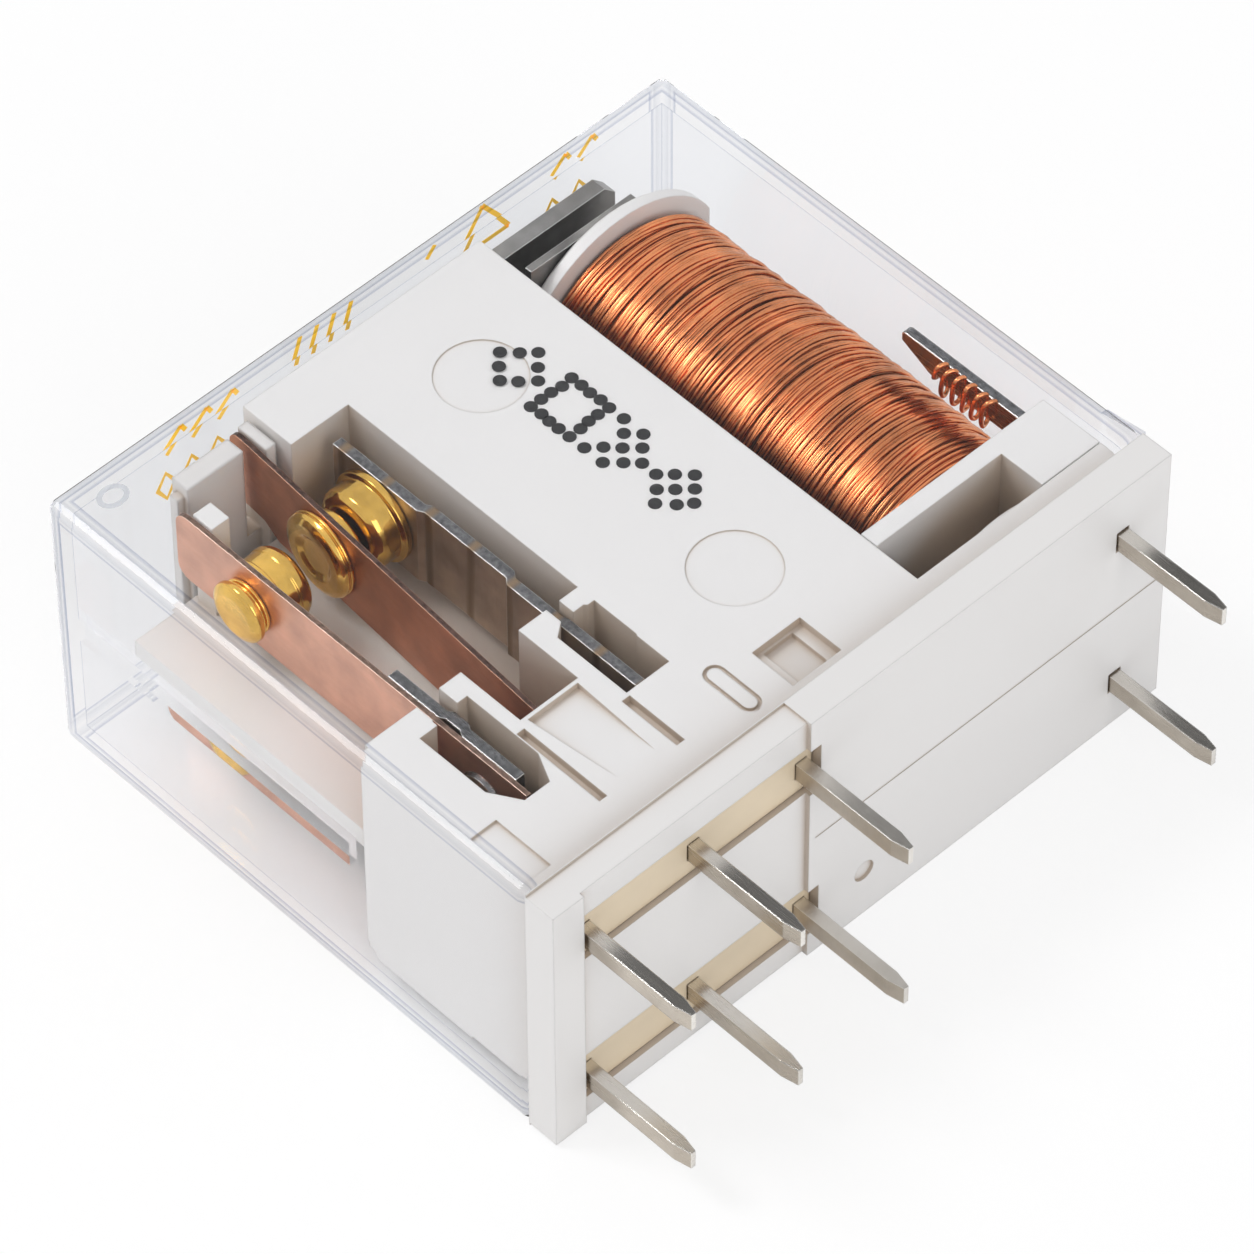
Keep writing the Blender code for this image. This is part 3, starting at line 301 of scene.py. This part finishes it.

# ---------------------------------------------------------------- terminals
# The terminals are stamped from tinned brass strip: satin faces, dark torn edges, and a painted highlight
# along the arrises.


def edge_line():
    """Node group: a mask that is one where the surface turns over an edge, found from a rounded normal."""
    group = bpy.data.node_groups.new("edge_line", "ShaderNodeTree")
    socket(group, "Radius", "NodeSocketFloat", "INPUT", 0.05 * MM)
    socket(group, "Gain", "NodeSocketFloat", "INPUT", 4.0)
    socket(group, "Mask", "NodeSocketFloat", "OUTPUT")
    socket(group, "Normal", "NodeSocketVector", "OUTPUT")
    inside, outside = group.nodes.new("NodeGroupInput"), group.nodes.new("NodeGroupOutput")
    edge = group.nodes.new("ShaderNodeBevel")
    edge.samples = 6
    true = group.nodes.new("ShaderNodeNewGeometry")
    match = group.nodes.new("ShaderNodeVectorMath")
    match.operation = "DOT_PRODUCT"
    turn = group.nodes.new("ShaderNodeMath")
    turn.operation = "SUBTRACT"
    turn.inputs[0].default_value = 1.0
    gain = group.nodes.new("ShaderNodeMath")
    gain.operation = "MULTIPLY"
    gain.use_clamp = True
    group.links.new(inside.outputs["Radius"], edge.inputs["Radius"])
    group.links.new(edge.outputs["Normal"], match.inputs[0])
    group.links.new(true.outputs["Normal"], match.inputs[1])
    group.links.new(match.outputs["Value"], turn.inputs[1])
    group.links.new(turn.outputs[0], gain.inputs[0])
    group.links.new(inside.outputs["Gain"], gain.inputs[1])
    group.links.new(gain.outputs[0], outside.inputs["Mask"])
    group.links.new(edge.outputs["Normal"], outside.inputs["Normal"])
    return group


EDGE = edge_line()


def noise(tree, vector, scale, detail):
    """A noise node read at object positions."""
    made = tree.nodes.new("ShaderNodeTexNoise")
    made.inputs["Scale"].default_value = scale
    made.inputs["Detail"].default_value = detail
    tree.links.new(vector, made.inputs["Vector"])
    return made.outputs["Fac"]


def blend(tree, share, first, second):
    """Two colours mixed by a mask; each is a colour or the output of a node."""
    mix = tree.nodes.new("ShaderNodeMix")
    mix.data_type = "RGBA"
    tree.links.new(share, mix.inputs["Factor"])
    for name, colour in (("A", first), ("B", second)):
        if isinstance(colour, tuple):
            mix.inputs[name].default_value = (*colour, 1)
        else:
            tree.links.new(colour, mix.inputs[name])
    return mix.outputs["Result"]


def window(tree, value, low, high):
    """A value spread so that low becomes zero and high becomes one."""
    spread = tree.nodes.new("ShaderNodeMapRange")
    spread.inputs["From Min"].default_value = low
    spread.inputs["From Max"].default_value = high
    tree.links.new(value, spread.inputs["Value"])
    return spread.outputs["Result"]


PIN_FINISH = (-9.7, -9.4)
PIT_DEPTH = 0.01


def rolled_metal(name, colour, roughness, streak=0.2, along=(1, 0.04, 1), cut=None, edge_glint=None, pits=0.25,
                 tear=0.4, edge_radius=0.05, pins=False):
    """Rolled strip metal: streaks along the strip, specks, sheared faces beside it, and a painted highlight
    along its edges. On a piece with pins, the colours change to plain tin across the level where the pins
    leave the base."""
    material = bpy.data.materials.new(name)
    material.use_nodes = True
    tree = material.node_tree
    shader = tree.nodes["Principled BSDF"]
    shader.inputs["Metallic"].default_value = 1.0
    where = tree.nodes.new("ShaderNodeTexCoord")
    stretch = tree.nodes.new("ShaderNodeMapping")
    stretch.inputs["Scale"].default_value = along
    tree.links.new(where.outputs["Object"], stretch.inputs["Vector"])
    lines = noise(tree, stretch.outputs["Vector"], 9000, 4)
    cloud = noise(tree, where.outputs["Object"], 700, 5)
    dark = tuple(c * (1 - streak) for c in colour)
    pale = tuple(min(1, c * (1 + streak * 0.6)) for c in colour)
    shade = blend(tree, window(tree, cloud, 0.3, 0.7), dark, pale)
    rough = tree.nodes.new("ShaderNodeMapRange")
    rough.inputs["To Min"].default_value = roughness * 0.7
    rough.inputs["To Max"].default_value = roughness * 1.3
    tree.links.new(lines, rough.inputs["Value"])
    if cut:
        side = tree.nodes.new("ShaderNodeSeparateXYZ")
        flat = tree.nodes.new("ShaderNodeMath")
        flat.operation = "ABSOLUTE"
        tree.links.new(where.outputs["Normal"], side.inputs["Vector"])
        tree.links.new(side.outputs["X"], flat.inputs[0])
        speck = window(tree, noise(tree, where.outputs["Object"], 6000, 3), 0.35, 0.75)
        deep, shiny = tuple(c * (1 - tear) for c in cut), tuple(min(1, c * (1 + tear)) for c in cut)
        torn = blend(tree, speck, deep, shiny)
        if pins:
            level = tree.nodes.new("ShaderNodeSeparateXYZ")
            tree.links.new(where.outputs["Object"], level.inputs["Vector"])
            inner = window(tree, level.outputs["Y"], PIN_FINISH[0] * MM, PIN_FINISH[1] * MM)
            torn = blend(tree, inner, blend(tree, cloud, (0.70, 0.66, 0.60), (0.92, 0.90, 0.86)), torn)
            shade = blend(tree, inner, blend(tree, cloud, (0.36, 0.31, 0.25), (0.68, 0.62, 0.54)), shade)
        shade = blend(tree, window(tree, flat.outputs[0], 0.6, 0.75), torn, shade)
    bump = tree.nodes.new("ShaderNodeBump")
    if edge_radius:
        edge = tree.nodes.new("ShaderNodeGroup")
        edge.node_tree = EDGE
        edge.inputs["Radius"].default_value = edge_radius * MM
        tree.links.new(edge.outputs["Normal"], bump.inputs["Normal"])
        # Painted highlight: a light colour is laid along the arrises, where edges would catch the light.
        if edge_glint:
            shade = blend(tree, edge.outputs["Mask"], shade, edge_glint)
    tree.links.new(shade, shader.inputs["Base Color"])
    tree.links.new(rough.outputs["Result"], shader.inputs["Roughness"])
    bump.inputs["Strength"].default_value = pits
    bump.inputs["Distance"].default_value = PIT_DEPTH * MM
    tree.links.new(lines, bump.inputs["Height"])
    tree.links.new(bump.outputs["Normal"], shader.inputs["Normal"])
    return material


STEEL_CUT = (0.15, 0.15, 0.155)
EDGE_GLINT = (0.92, 0.90, 0.87)
tinned = rolled_metal("tinned_metal", (0.42, 0.30, 0.22), 0.26, 0.2, cut=STEEL_CUT, edge_glint=EDGE_GLINT,
                      edge_radius=0.08, pins=True)
coat(tinned, *[n for n in nodes if "coil_terminal" in n or "com_terminal" in n])
strip = rolled_metal("strip_metal", (0.50, 0.42, 0.34), 0.26, 0.2, cut=STEEL_CUT, edge_glint=EDGE_GLINT,
                     edge_radius=0.07, pins=True)
coat(strip, *[n for n in nodes if "no_terminal" in n or "no_rivet" in n])

# The fixed inner strips show a tan, pitted skin with narrow dark bands across it above a set level.
BANDS_FROM = (-5.0, -4.5)

fixed = rolled_metal("pitted_strip", (0.47, 0.36, 0.27), 0.42, 0.3, (1, 1, 0.08), STEEL_CUT, EDGE_GLINT, 0.5,
                     edge_radius=0.07, pins=True)
coat(fixed, *[n for n in nodes if "nc_terminal" in n])
tree = fixed.node_tree
shader = tree.nodes["Principled BSDF"]
plain = shader.inputs["Base Color"].links[0].from_socket
where = tree.nodes.new("ShaderNodeTexCoord")
bands = tree.nodes.new("ShaderNodeTexWave")
bands.bands_direction = "Y"
bands.inputs["Scale"].default_value = 150
bands.inputs["Distortion"].default_value = 0.6
bands.inputs["Detail"].default_value = 2
tree.links.new(where.outputs["Object"], bands.inputs["Vector"])
height = tree.nodes.new("ShaderNodeSeparateXYZ")
tree.links.new(where.outputs["Object"], height.inputs["Vector"])
inside = tree.nodes.new("ShaderNodeMath")
inside.operation = "MULTIPLY"
tree.links.new(window(tree, height.outputs["Y"], BANDS_FROM[0] * MM, BANDS_FROM[1] * MM), inside.inputs[0])
tree.links.new(window(tree, bands.outputs["Fac"], 0.12, 0.0), inside.inputs[1])
banded = blend(tree, inside.outputs[0], plain, (0.24, 0.17, 0.11))
tree.links.new(banded, shader.inputs["Base Color"])

# ---------------------------------------------------------------- contact blades
# The blades are thin copper alloy springs: a pinkish one on the open side and a redder moving one between.

# Both blades carry a painted highlight along their edges.
PINK_CUT = (0.20, 0.13, 0.10)
PINK_EDGE_GLINT = (0.90, 0.66, 0.54)
pale_copper = rolled_metal("pale_copper", (0.70, 0.40, 0.295), 0.40, 0.2, cut=PINK_CUT, edge_glint=PINK_EDGE_GLINT)
coat(pale_copper, "no_blade_upper", "no_blade_lower")
RED_CUT = (0.10, 0.06, 0.05)
red_copper = rolled_metal("red_copper", (0.50, 0.215, 0.12), 0.40, 0.25, cut=RED_CUT, edge_glint=(0.62, 0.34, 0.22))
coat(red_copper, "com_blade_upper", "com_blade_lower")

# ---------------------------------------------------------------- contact rivets
# The contacts are turned rivets with a polished gold skin. Each profile runs along the rivet from the tail or
# face on the left of its blade or strip to the other end, with every corner slightly rounded.

ORIGIN = np.array((-0.15, -10.1, 0.0))
CONTACT_H = 18.85
TURN_SIDES = 96
POLE_MIDDLES = {"upper": 9.225, "lower": 3.175}
BLADE_ROOT = (-8.1, 7.5)
BLADE_LEAN = 3.8
gold = rolled_metal("contact_gold", (0.78, 0.48, 0.11), 0.13, 0.3, (1, 0.02, 0.02), pits=0.3, edge_radius=0)


def rounded_profile(profile, radius=0.05):
    """The profile with each corner replaced by a short curve: its ends lie a little before and after the
    corner, and the corner pulls its middle outwards."""
    points = [np.array(point) for point in profile]
    path = [points[0]]
    for before, corner, after in zip(points, points[1:], points[2:]):
        ends = []
        for other in (before, after):
            step = other - corner
            length = np.hypot(*step)
            ends.append(corner + step / length * min(radius, 0.4 * length))
        for t in (0.0, 0.25, 0.5, 0.75, 1.0):
            path.append((1 - t) ** 2 * ends[0] + 2 * t * (1 - t) * corner + t * t * ends[1])
    return path + [points[-1]]


def grid_mesh(name, points, rows, columns):
    """A tube from rings of points, closed round each ring and capped at both ends."""
    row, column = np.meshgrid(np.arange(rows - 1), np.arange(columns), indexing="ij")
    a = row * columns + column
    b = row * columns + (column + 1) % columns
    quads = np.stack([a, a + columns, b + columns, b], axis=-1).reshape(-1, 4)
    mesh = bpy.data.meshes.new(name)
    caps = [list(range(columns)), [(rows - 1) * columns + k for k in range(columns)][::-1]]
    mesh.from_pydata(points.tolist(), [], quads.tolist() + caps)
    mesh.polygons.foreach_set("use_smooth", np.ones(len(mesh.polygons), dtype=bool))
    mesh.update()
    return mesh


def turned_rivet(kind, pole, profile, body, pivot=(0.0, 0.0), lean=0.0):
    """A surface of revolution: each profile point (distance, radius) draws a circle round the rivet's axis,
    which stands at the contact height above a pivot and leans with its blade by an angle."""
    path = np.array(rounded_profile(profile))
    around = 2 * np.pi * np.arange(TURN_SIDES) / TURN_SIDES
    along = np.repeat(path[:, 0], TURN_SIDES)
    radius = np.repeat(path[:, 1], TURN_SIDES)
    angle = np.tile(around, len(path))
    local_h = CONTACT_H - pivot[1] + radius * np.cos(angle)
    turn = math.radians(-lean)
    x = pivot[0] + along * math.cos(turn) - local_h * math.sin(turn)
    h = pivot[1] + along * math.sin(turn) + local_h * math.cos(turn)
    z = POLE_MIDDLES[pole] - radius * np.sin(angle)
    points = (np.stack([x, h, z], axis=1) + ORIGIN) * MM
    name = f"turned_{kind}_contact_{pole}"
    mesh = grid_mesh(name, points, len(path), TURN_SIDES)
    mesh.materials.append(gold)
    piece = bpy.data.objects.new(name, mesh)
    bpy.context.scene.collection.objects.link(piece)
    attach(piece, body)
    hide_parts(f"{kind}_contact_{pole}")


OPEN_RIVET = ((-11.67, 0.02), (-11.67, 0.85), (-11.60, 1.05), (-11.50, 1.20), (-11.28, 1.22), (-11.20, 0.98),
              (-11.10, 0.98), (-11.04, 1.10), (-10.92, 1.08), (-10.92, 0.66), (-10.68, 0.66), (-10.68, 1.46),
              (-10.62, 1.50), (-10.38, 1.50), (-10.34, 1.40), (-9.75, 1.40), (-9.70, 1.44), (-9.45, 1.44),
              (-9.25, 1.34), (-9.10, 1.16), (-9.08, 0.80), (-9.04, 0.02))
MOVING_RIVET = ((-0.48, 0.02), (-0.48, 0.70), (-0.62, 0.95), (-0.62, 1.36), (-0.52, 1.60), (-0.36, 1.70),
                (-0.28, 1.58), (-0.24, 1.68), (-0.12, 1.68), (-0.12, 0.66), (0.12, 0.66), (0.12, 1.43),
                (0.32, 1.45), (0.38, 1.28), (0.50, 1.32), (0.60, 1.30), (0.76, 1.14), (0.84, 0.90),
                (0.84, 0.02))
FIXED_RIVET = ((-6.44, 0.02), (-6.41, 0.90), (-6.41, 1.20), (-6.30, 1.42), (-6.10, 1.58), (-5.90, 1.62),
               (-5.34, 1.62), (-5.30, 1.70), (-5.28, 1.82), (-5.01, 1.82), (-5.01, 0.66), (-4.55, 0.66),
               (-4.55, 1.02), (-4.37, 0.92), (-4.26, 0.50), (-4.25, 0.02))

for pole in POLE_MIDDLES:
    turned_rivet("no", pole, OPEN_RIVET, "housing")
    turned_rivet("com", pole, MOVING_RIVET, f"moving_blade_{pole}", BLADE_ROOT, BLADE_LEAN)
    turned_rivet("nc", pole, FIXED_RIVET, "housing")

# ---------------------------------------------------------------- magnet system
# Core, yoke and armature are soft iron with a dull plating.

STEEL_EDGE_GLINT = (0.85, 0.85, 0.84)
# Their edges carry a painted highlight.
steel = rolled_metal("magnet_steel", (0.27, 0.262, 0.25), 0.36, 0.4, (1, 1, 1), edge_glint=STEEL_EDGE_GLINT, pits=0.5)
coat(steel, "core", "yoke", "armature")
coat(rolled_metal("under_wire", (0.45, 0.18, 0.08), 0.4), "coil_winding")

# ---------------------------------------------------------------- card
# The card that moves the blades is a small moulding in a greyer plastic.

coat(plastic("card_plastic", (0.70, 0.68, 0.665), 0.42, rounded=0.2), "card")

# ---------------------------------------------------------------- coil wire
# The outer layer of enamelled copper wire lies in nearly even turns over the winding. A second wire, with
# fewer and looser turns, lies on top of it.

WIRE_TURNS = 136
TOP_TURNS = 64
SWELL = 0.10
WAVES = ((1, 0.9, 9), (3, 2.1, 31), (5, 0.3, -43))
WIRE_RADIUS = 0.075
WIRE_STEPS = 56
WIRE_SIDES = 6

low, high = (np.array(corner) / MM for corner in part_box("coil_winding"))
coil_x, coil_z = (low[0] + high[0]) / 2, (low[2] + high[2]) / 2
coil_radius = (high[0] - low[0]) / 2
random = np.random.default_rng(7)


def smooth_noise(count, step, rng):
    """Random values, one per step, joined by a smooth curve over the whole count."""
    knots = rng.normal(size=count // step + 3)
    t = np.arange(count) / step
    i = t.astype(int)
    f = t - i
    f = f * f * (3 - 2 * f)
    return knots[i] * (1 - f) + knots[i + 1] * f


def wound_wire(turns, lift, waviness):
    """A round tube along a helix. Radius and pitch wander, and a smooth field shared by neighbouring turns
    pushes whole groups of them to and fro, so that they lie in waves. The coil swells at its middle."""
    count = turns * WIRE_STEPS + 1
    t = np.arange(count) / WIRE_STEPS
    share = t / turns
    angle = 2 * np.pi * t
    run = (high[1] - low[1]) - 2 * WIRE_RADIUS
    waves = sum(np.sin(k * angle + phase + turn * share) / k for k, phase, turn in WAVES)
    wander = 0.03 * waves + waviness * smooth_noise(count, 15, random)
    along = low[1] + WIRE_RADIUS + run * share + wander
    along = np.clip(along, low[1] + WIRE_RADIUS, high[1] - WIRE_RADIUS)
    swell = SWELL * np.sin(np.pi * share) ** 0.6
    radius = coil_radius + lift + swell + 0.025 * smooth_noise(count, 9, random)
    centre = np.stack([coil_x + radius * np.cos(angle), along, coil_z + radius * np.sin(angle)], axis=1)
    out = np.stack([np.cos(angle), np.zeros(count), np.sin(angle)], axis=1)
    side = np.tile((0.0, 1.0, 0.0), (count, 1))
    return tube(centre, out, side, WIRE_RADIUS, WIRE_SIDES)


def tube(centre, out, side, radius, sides):
    """Rings of points round a path: each ring is a circle spanned by two unit vectors across the path."""
    around = 2 * np.pi * np.arange(sides) / sides
    ring = np.cos(around)[None, :, None] * out[:, None, :] + np.sin(around)[None, :, None] * side[:, None, :]
    points = centre[:, None, :] + radius * ring
    return points.reshape(-1, 3) * MM, len(centre), sides


enamelled = rolled_metal("enamelled_wire", (0.72, 0.27, 0.11), 0.17, 0.35, (1, 1, 1), pits=0.1, edge_radius=0)
LAYERS = (("winding_wire", WIRE_TURNS, 0.03, 0.05), ("top_turns", TOP_TURNS, 0.14, 0.16))
for name, turns, lift, waviness in LAYERS:
    wire_mesh = grid_mesh(name, *wound_wire(turns, lift, waviness))
    wire_mesh.materials.append(enamelled)
    wire = bpy.data.objects.new(name, wire_mesh)
    bpy.context.scene.collection.objects.link(wire)
    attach(wire, "housing")

# Each coil post carries the end of the wire, wrapped a few times round it.

POST_HALF = (0.27, 0.66)
WRAPS = 5.5
WRAP_STEPS = 40
WRAP_RADIUS = 0.095
WRAP_SIDES = 8
WRAP_INSET = 0.6
WRAP_START = 4.6
WRAP_CLIMB = 2.6


def wrapped_lead(post, name):
    """A tube round a flat post: its path is a rounded rectangle, drawn again and again as it climbs."""
    near, far = (np.array(corner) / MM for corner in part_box(post))
    middle_x = (near[0] + far[0]) / 2
    middle_z = far[2] - WRAP_INSET if "upper" in name else near[2] + WRAP_INSET
    count = int(WRAPS * WRAP_STEPS)
    t = np.arange(count) / WRAP_STEPS
    angle = 2 * np.pi * t
    corner = (np.abs(np.cos(angle)) ** 3 + np.abs(np.sin(angle)) ** 3) ** (-1 / 3)
    x = middle_x + POST_HALF[0] * corner * np.cos(angle)
    z = middle_z + POST_HALF[1] * corner * np.sin(angle)
    y = far[1] - WRAP_START + WRAP_CLIMB * t / WRAPS + 0.05 * smooth_noise(count, 9, random)
    centre = np.stack([x, y, z], axis=1)
    out = np.stack([np.cos(angle), np.zeros(count), np.sin(angle)], axis=1)
    side = np.tile((0.0, 1.0, 0.0), (count, 1))
    made = grid_mesh(name, *tube(centre, out, side, WRAP_RADIUS, WRAP_SIDES))
    made.materials.append(enamelled)
    piece = bpy.data.objects.new(name, made)
    bpy.context.scene.collection.objects.link(piece)
    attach(piece, "housing")
    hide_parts(name.replace("wire_wraps", "coil_lead"))


for pole in ("upper", "lower"):
    wrapped_lead(f"coil_terminal_{pole}", f"wire_wraps_{pole}")

# ---------------------------------------------------------------- cover
# The cover is a clear polished moulding, pushed over the base. It throws almost no shadow on the parts
# inside.

clear = bpy.data.materials.new("clear_cover")
clear.use_nodes = True
tree = clear.node_tree
shader = tree.nodes["Principled BSDF"]
shader.inputs["Transmission Weight"].default_value = 1.0
shader.inputs["IOR"].default_value = 1.06
shader.inputs["Coat Weight"].default_value = 0.35
shader.inputs["Coat Roughness"].default_value = 0.02
where = tree.nodes.new("ShaderNodeTexCoord")
haze = tree.nodes.new("ShaderNodeMapRange")
haze.inputs["To Min"].default_value = 0.0
haze.inputs["To Max"].default_value = 0.03
tree.links.new(noise(tree, where.outputs["Object"], 400, 3), haze.inputs["Value"])
tree.links.new(haze.outputs["Result"], shader.inputs["Roughness"])


def math_node(tree, way, first, second):
    """One arithmetic step on two values, each a number or the output of a node."""
    made = tree.nodes.new("ShaderNodeMath")
    made.operation = way
    for put, value in zip(made.inputs, (first, second)):
        if isinstance(value, (int, float)):
            put.default_value = value
        else:
            tree.links.new(value, put)
    return made.outputs[0]


# Each edge gets painted refraction, as the wall seen end on would show: a pale band between two thin dark
# lines. The second smallest of the distances to the outer planes tells how far a point lies from the nearest
# edge.
BODY_ENDS = (-14.65, 14.35)
BELOW_COVER = -11.0
EDGE_WIDTH = 0.8
LET_THROUGH = 0.93

lid = [np.array(corner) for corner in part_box("cover")]
spot = tree.nodes.new("ShaderNodeSeparateXYZ")
tree.links.new(where.outputs["Object"], spot.inputs["Vector"])
reach = []
planes = (("X", BODY_ENDS[0] * MM, BODY_ENDS[1] * MM), ("Y", BELOW_COVER * MM, lid[1][1]),
          ("Z", lid[0][2], lid[1][2]))
for axis, near, far in planes:
    from_middle = math_node(tree, "SUBTRACT", spot.outputs[axis], float(near + far) / 2)
    off = math_node(tree, "ABSOLUTE", from_middle, 0.0)
    reach.append(math_node(tree, "SUBTRACT", float(far - near) / 2, off))
small, large = math_node(tree, "MINIMUM", reach[0], reach[1]), math_node(tree, "MAXIMUM", reach[0], reach[1])
second = math_node(tree, "MAXIMUM", small, math_node(tree, "MINIMUM", large, reach[2]))
lines = tree.nodes.new("ShaderNodeValToRGB")
lines.color_ramp.elements[0].color = (0.70, 0.72, 0.78, 1)
lines.color_ramp.elements[1].color = (0.965, 0.970, 0.980, 1)
for position, tint in ((0.10, (0.97, 0.97, 0.98)), (0.30, (0.84, 0.86, 0.90)), (0.50, (0.72, 0.74, 0.79)),
                       (0.62, (0.93, 0.94, 0.96)), (0.80, (0.42, 0.46, 0.60)), (0.86, (0.965, 0.970, 0.980))):
    lines.color_ramp.elements.new(position).color = (*tint, 1)
tree.links.new(window(tree, second, 0.0, EDGE_WIDTH * MM), lines.inputs["Fac"])
tree.links.new(lines.outputs["Color"], shader.inputs["Base Color"])
path = tree.nodes.new("ShaderNodeLightPath")
through = math_node(tree, "MAXIMUM", path.outputs["Is Shadow Ray"], path.outputs["Is Diffuse Ray"])
opening = math_node(tree, "MULTIPLY", through, LET_THROUGH)
tree.links.new(math_node(tree, "SUBTRACT", 1.0, opening), shader.inputs["Alpha"])
coat(clear, "cover")

# ---------------------------------------------------------------- printed marks
# Two prints stand in for the maker's: black ink dots on the base's frame, and gold foil lozenges and strokes
# on the far wall of the cover. They are plain patterns.

DOT_RADIUS = 0.25
DOT_PITCH = 0.47
DOT_HEIGHT = 0.03
DOT_SIDES = 14
DOT_ROW_X = 1.75
DOT_WANDER = 0.02
FRAME_TOP = 11.5
MOTIFS = ((18.9, lambda i, j: abs(i) + abs(j) == 2),
          (16.3, lambda i, j: max(abs(i), abs(j)) == 2),
          (13.7, lambda i, j: j in (abs(i), abs(i) - 2)),
          (11.1, lambda i, j: (i + j) % 2 == 0 and abs(i) + abs(j) < 4))


def flat_piece(name, outlines, low, high, axes, material, body):
    """Thin plates: each outline is a closed loop of points, carried between two levels on the third axis."""
    points, faces = [], []
    for outline in outlines:
        start, count = len(points), len(outline)
        for level in (low, high):
            for a, b in outline:
                spot = np.zeros(3)
                spot[list(axes)] = a, b, level
                points.append(tuple((spot + ORIGIN) * MM))
        faces.append(tuple(range(start, start + count))[::-1])
        faces.append(tuple(range(start + count, start + 2 * count)))
        for k in range(count):
            n = (k + 1) % count
            faces.append((start + k, start + n, start + count + n, start + count + k))
    mesh = bpy.data.meshes.new(name)
    mesh.from_pydata(points, [], faces)
    mesh.materials.append(material)
    piece = bpy.data.objects.new(name, mesh)
    bpy.context.scene.collection.objects.link(piece)
    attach(piece, body)


def ink_dots():
    """Round dots on a five by five grid for each motif, all of one size, in a row along the frame."""
    around = 2 * np.pi * np.arange(DOT_SIDES) / DOT_SIDES
    loops = []
    for height, wanted in MOTIFS:
        for i in range(-2, 3):
            for j in range(-2, 3):
                if wanted(i, j):
                    x = DOT_ROW_X + DOT_PITCH * i + DOT_WANDER * random.normal()
                    h = height + DOT_PITCH * j + DOT_WANDER * random.normal()
                    loops.append([(x + DOT_RADIUS * np.cos(a), h + DOT_RADIUS * np.sin(a)) for a in around])
    return loops


black_ink = plastic("black_ink", (0.010, 0.010, 0.011), 0.6, 0.5, 0.6, 0.02, 0.0)
flat_piece("ink_dots", ink_dots(), FRAME_TOP, FRAME_TOP + DOT_HEIGHT, (0, 1, 2), black_ink, "housing")

STROKE = 0.2
LOZENGE_SIDES = 4
FOIL = (25.002, 25.016)
GATE = (12.401, 12.41)


def ring(x, z, width, height, steps=20):
    """The wall of an oval as short quads, or of a lozenge when it has only four."""
    loops = []
    for k in range(steps):
        a, b = (2 * math.pi * (k + q) / steps for q in (0, 1))
        corners = [(a, 0), (b, 0), (b, STROKE), (a, STROKE)]
        loops.append([(x + (width - inset) * math.cos(t), z + (height - inset) * math.sin(t))
                      for t, inset in corners])
    return loops


def bar(x0, z0, x1, z1):
    """A straight stroke as one quad."""
    along = Vector((x1 - x0, z1 - z0)).normalized() * STROKE / 2
    across = Vector((-along.y, along.x))
    return [[(x0 + across.x, z0 + across.y), (x0 - across.x, z0 - across.y),
             (x1 - across.x, z1 - across.y), (x1 + across.x, z1 + across.y)]]


gold_loops = []
for x in (-9.3, -8.1, -6.9):
    gold_loops += ring(x, 9.1, 0.5, 0.75, LOZENGE_SIDES)
    gold_loops += bar(x + 0.1, 10.6, x + 0.9, 11.4) + bar(x + 0.9, 11.4, x + 1.1, 11.0)
for x in (-3.2, -2.4, -1.6, -0.8):
    gold_loops += bar(x, 10.6, x + 0.35, 11.7)
gold_loops += bar(3.1, 11.1, 3.5, 11.6)
gold_loops += bar(4.7, 10.2, 6.9, 10.2) + bar(4.7, 10.2, 5.8, 11.9) + bar(5.8, 11.9, 6.9, 10.2)
for x in (9.0, 10.3):
    gold_loops += ring(x, 9.3, 0.5, 0.75, LOZENGE_SIDES)
    gold_loops += bar(x + 0.1, 10.9, x + 0.8, 11.6) + bar(x + 0.8, 11.6, x + 1.0, 11.2)
gold_foil = plastic("gold_foil", (0.90, 0.53, 0.03), 0.35, 0.25, 0.2, 0.01, 0.0)
gold_shader = gold_foil.node_tree.nodes["Principled BSDF"]
# Painted glow: the foil gives off a faint light of its own.
gold_shader.inputs["Emission Color"].default_value = (0.90, 0.53, 0.03, 1)
gold_shader.inputs["Emission Strength"].default_value = 0.3
flat_piece("gold_marks", gold_loops, *FOIL, (0, 2, 1), gold_foil, "housing")

# A faint round mark on the lid shows where the cover was filled in its mould.
gate = plastic("gate_mark", (0.62, 0.65, 0.70), 0.2, 0.1, 0.1, 0.01, 0.0)
gate.node_tree.nodes["Principled BSDF"].inputs["Alpha"].default_value = 0.4
flat_piece("gate_mark", ring(-12.7, 23.6, 0.62, 0.5), *GATE, (0, 1, 2), gate, "housing")
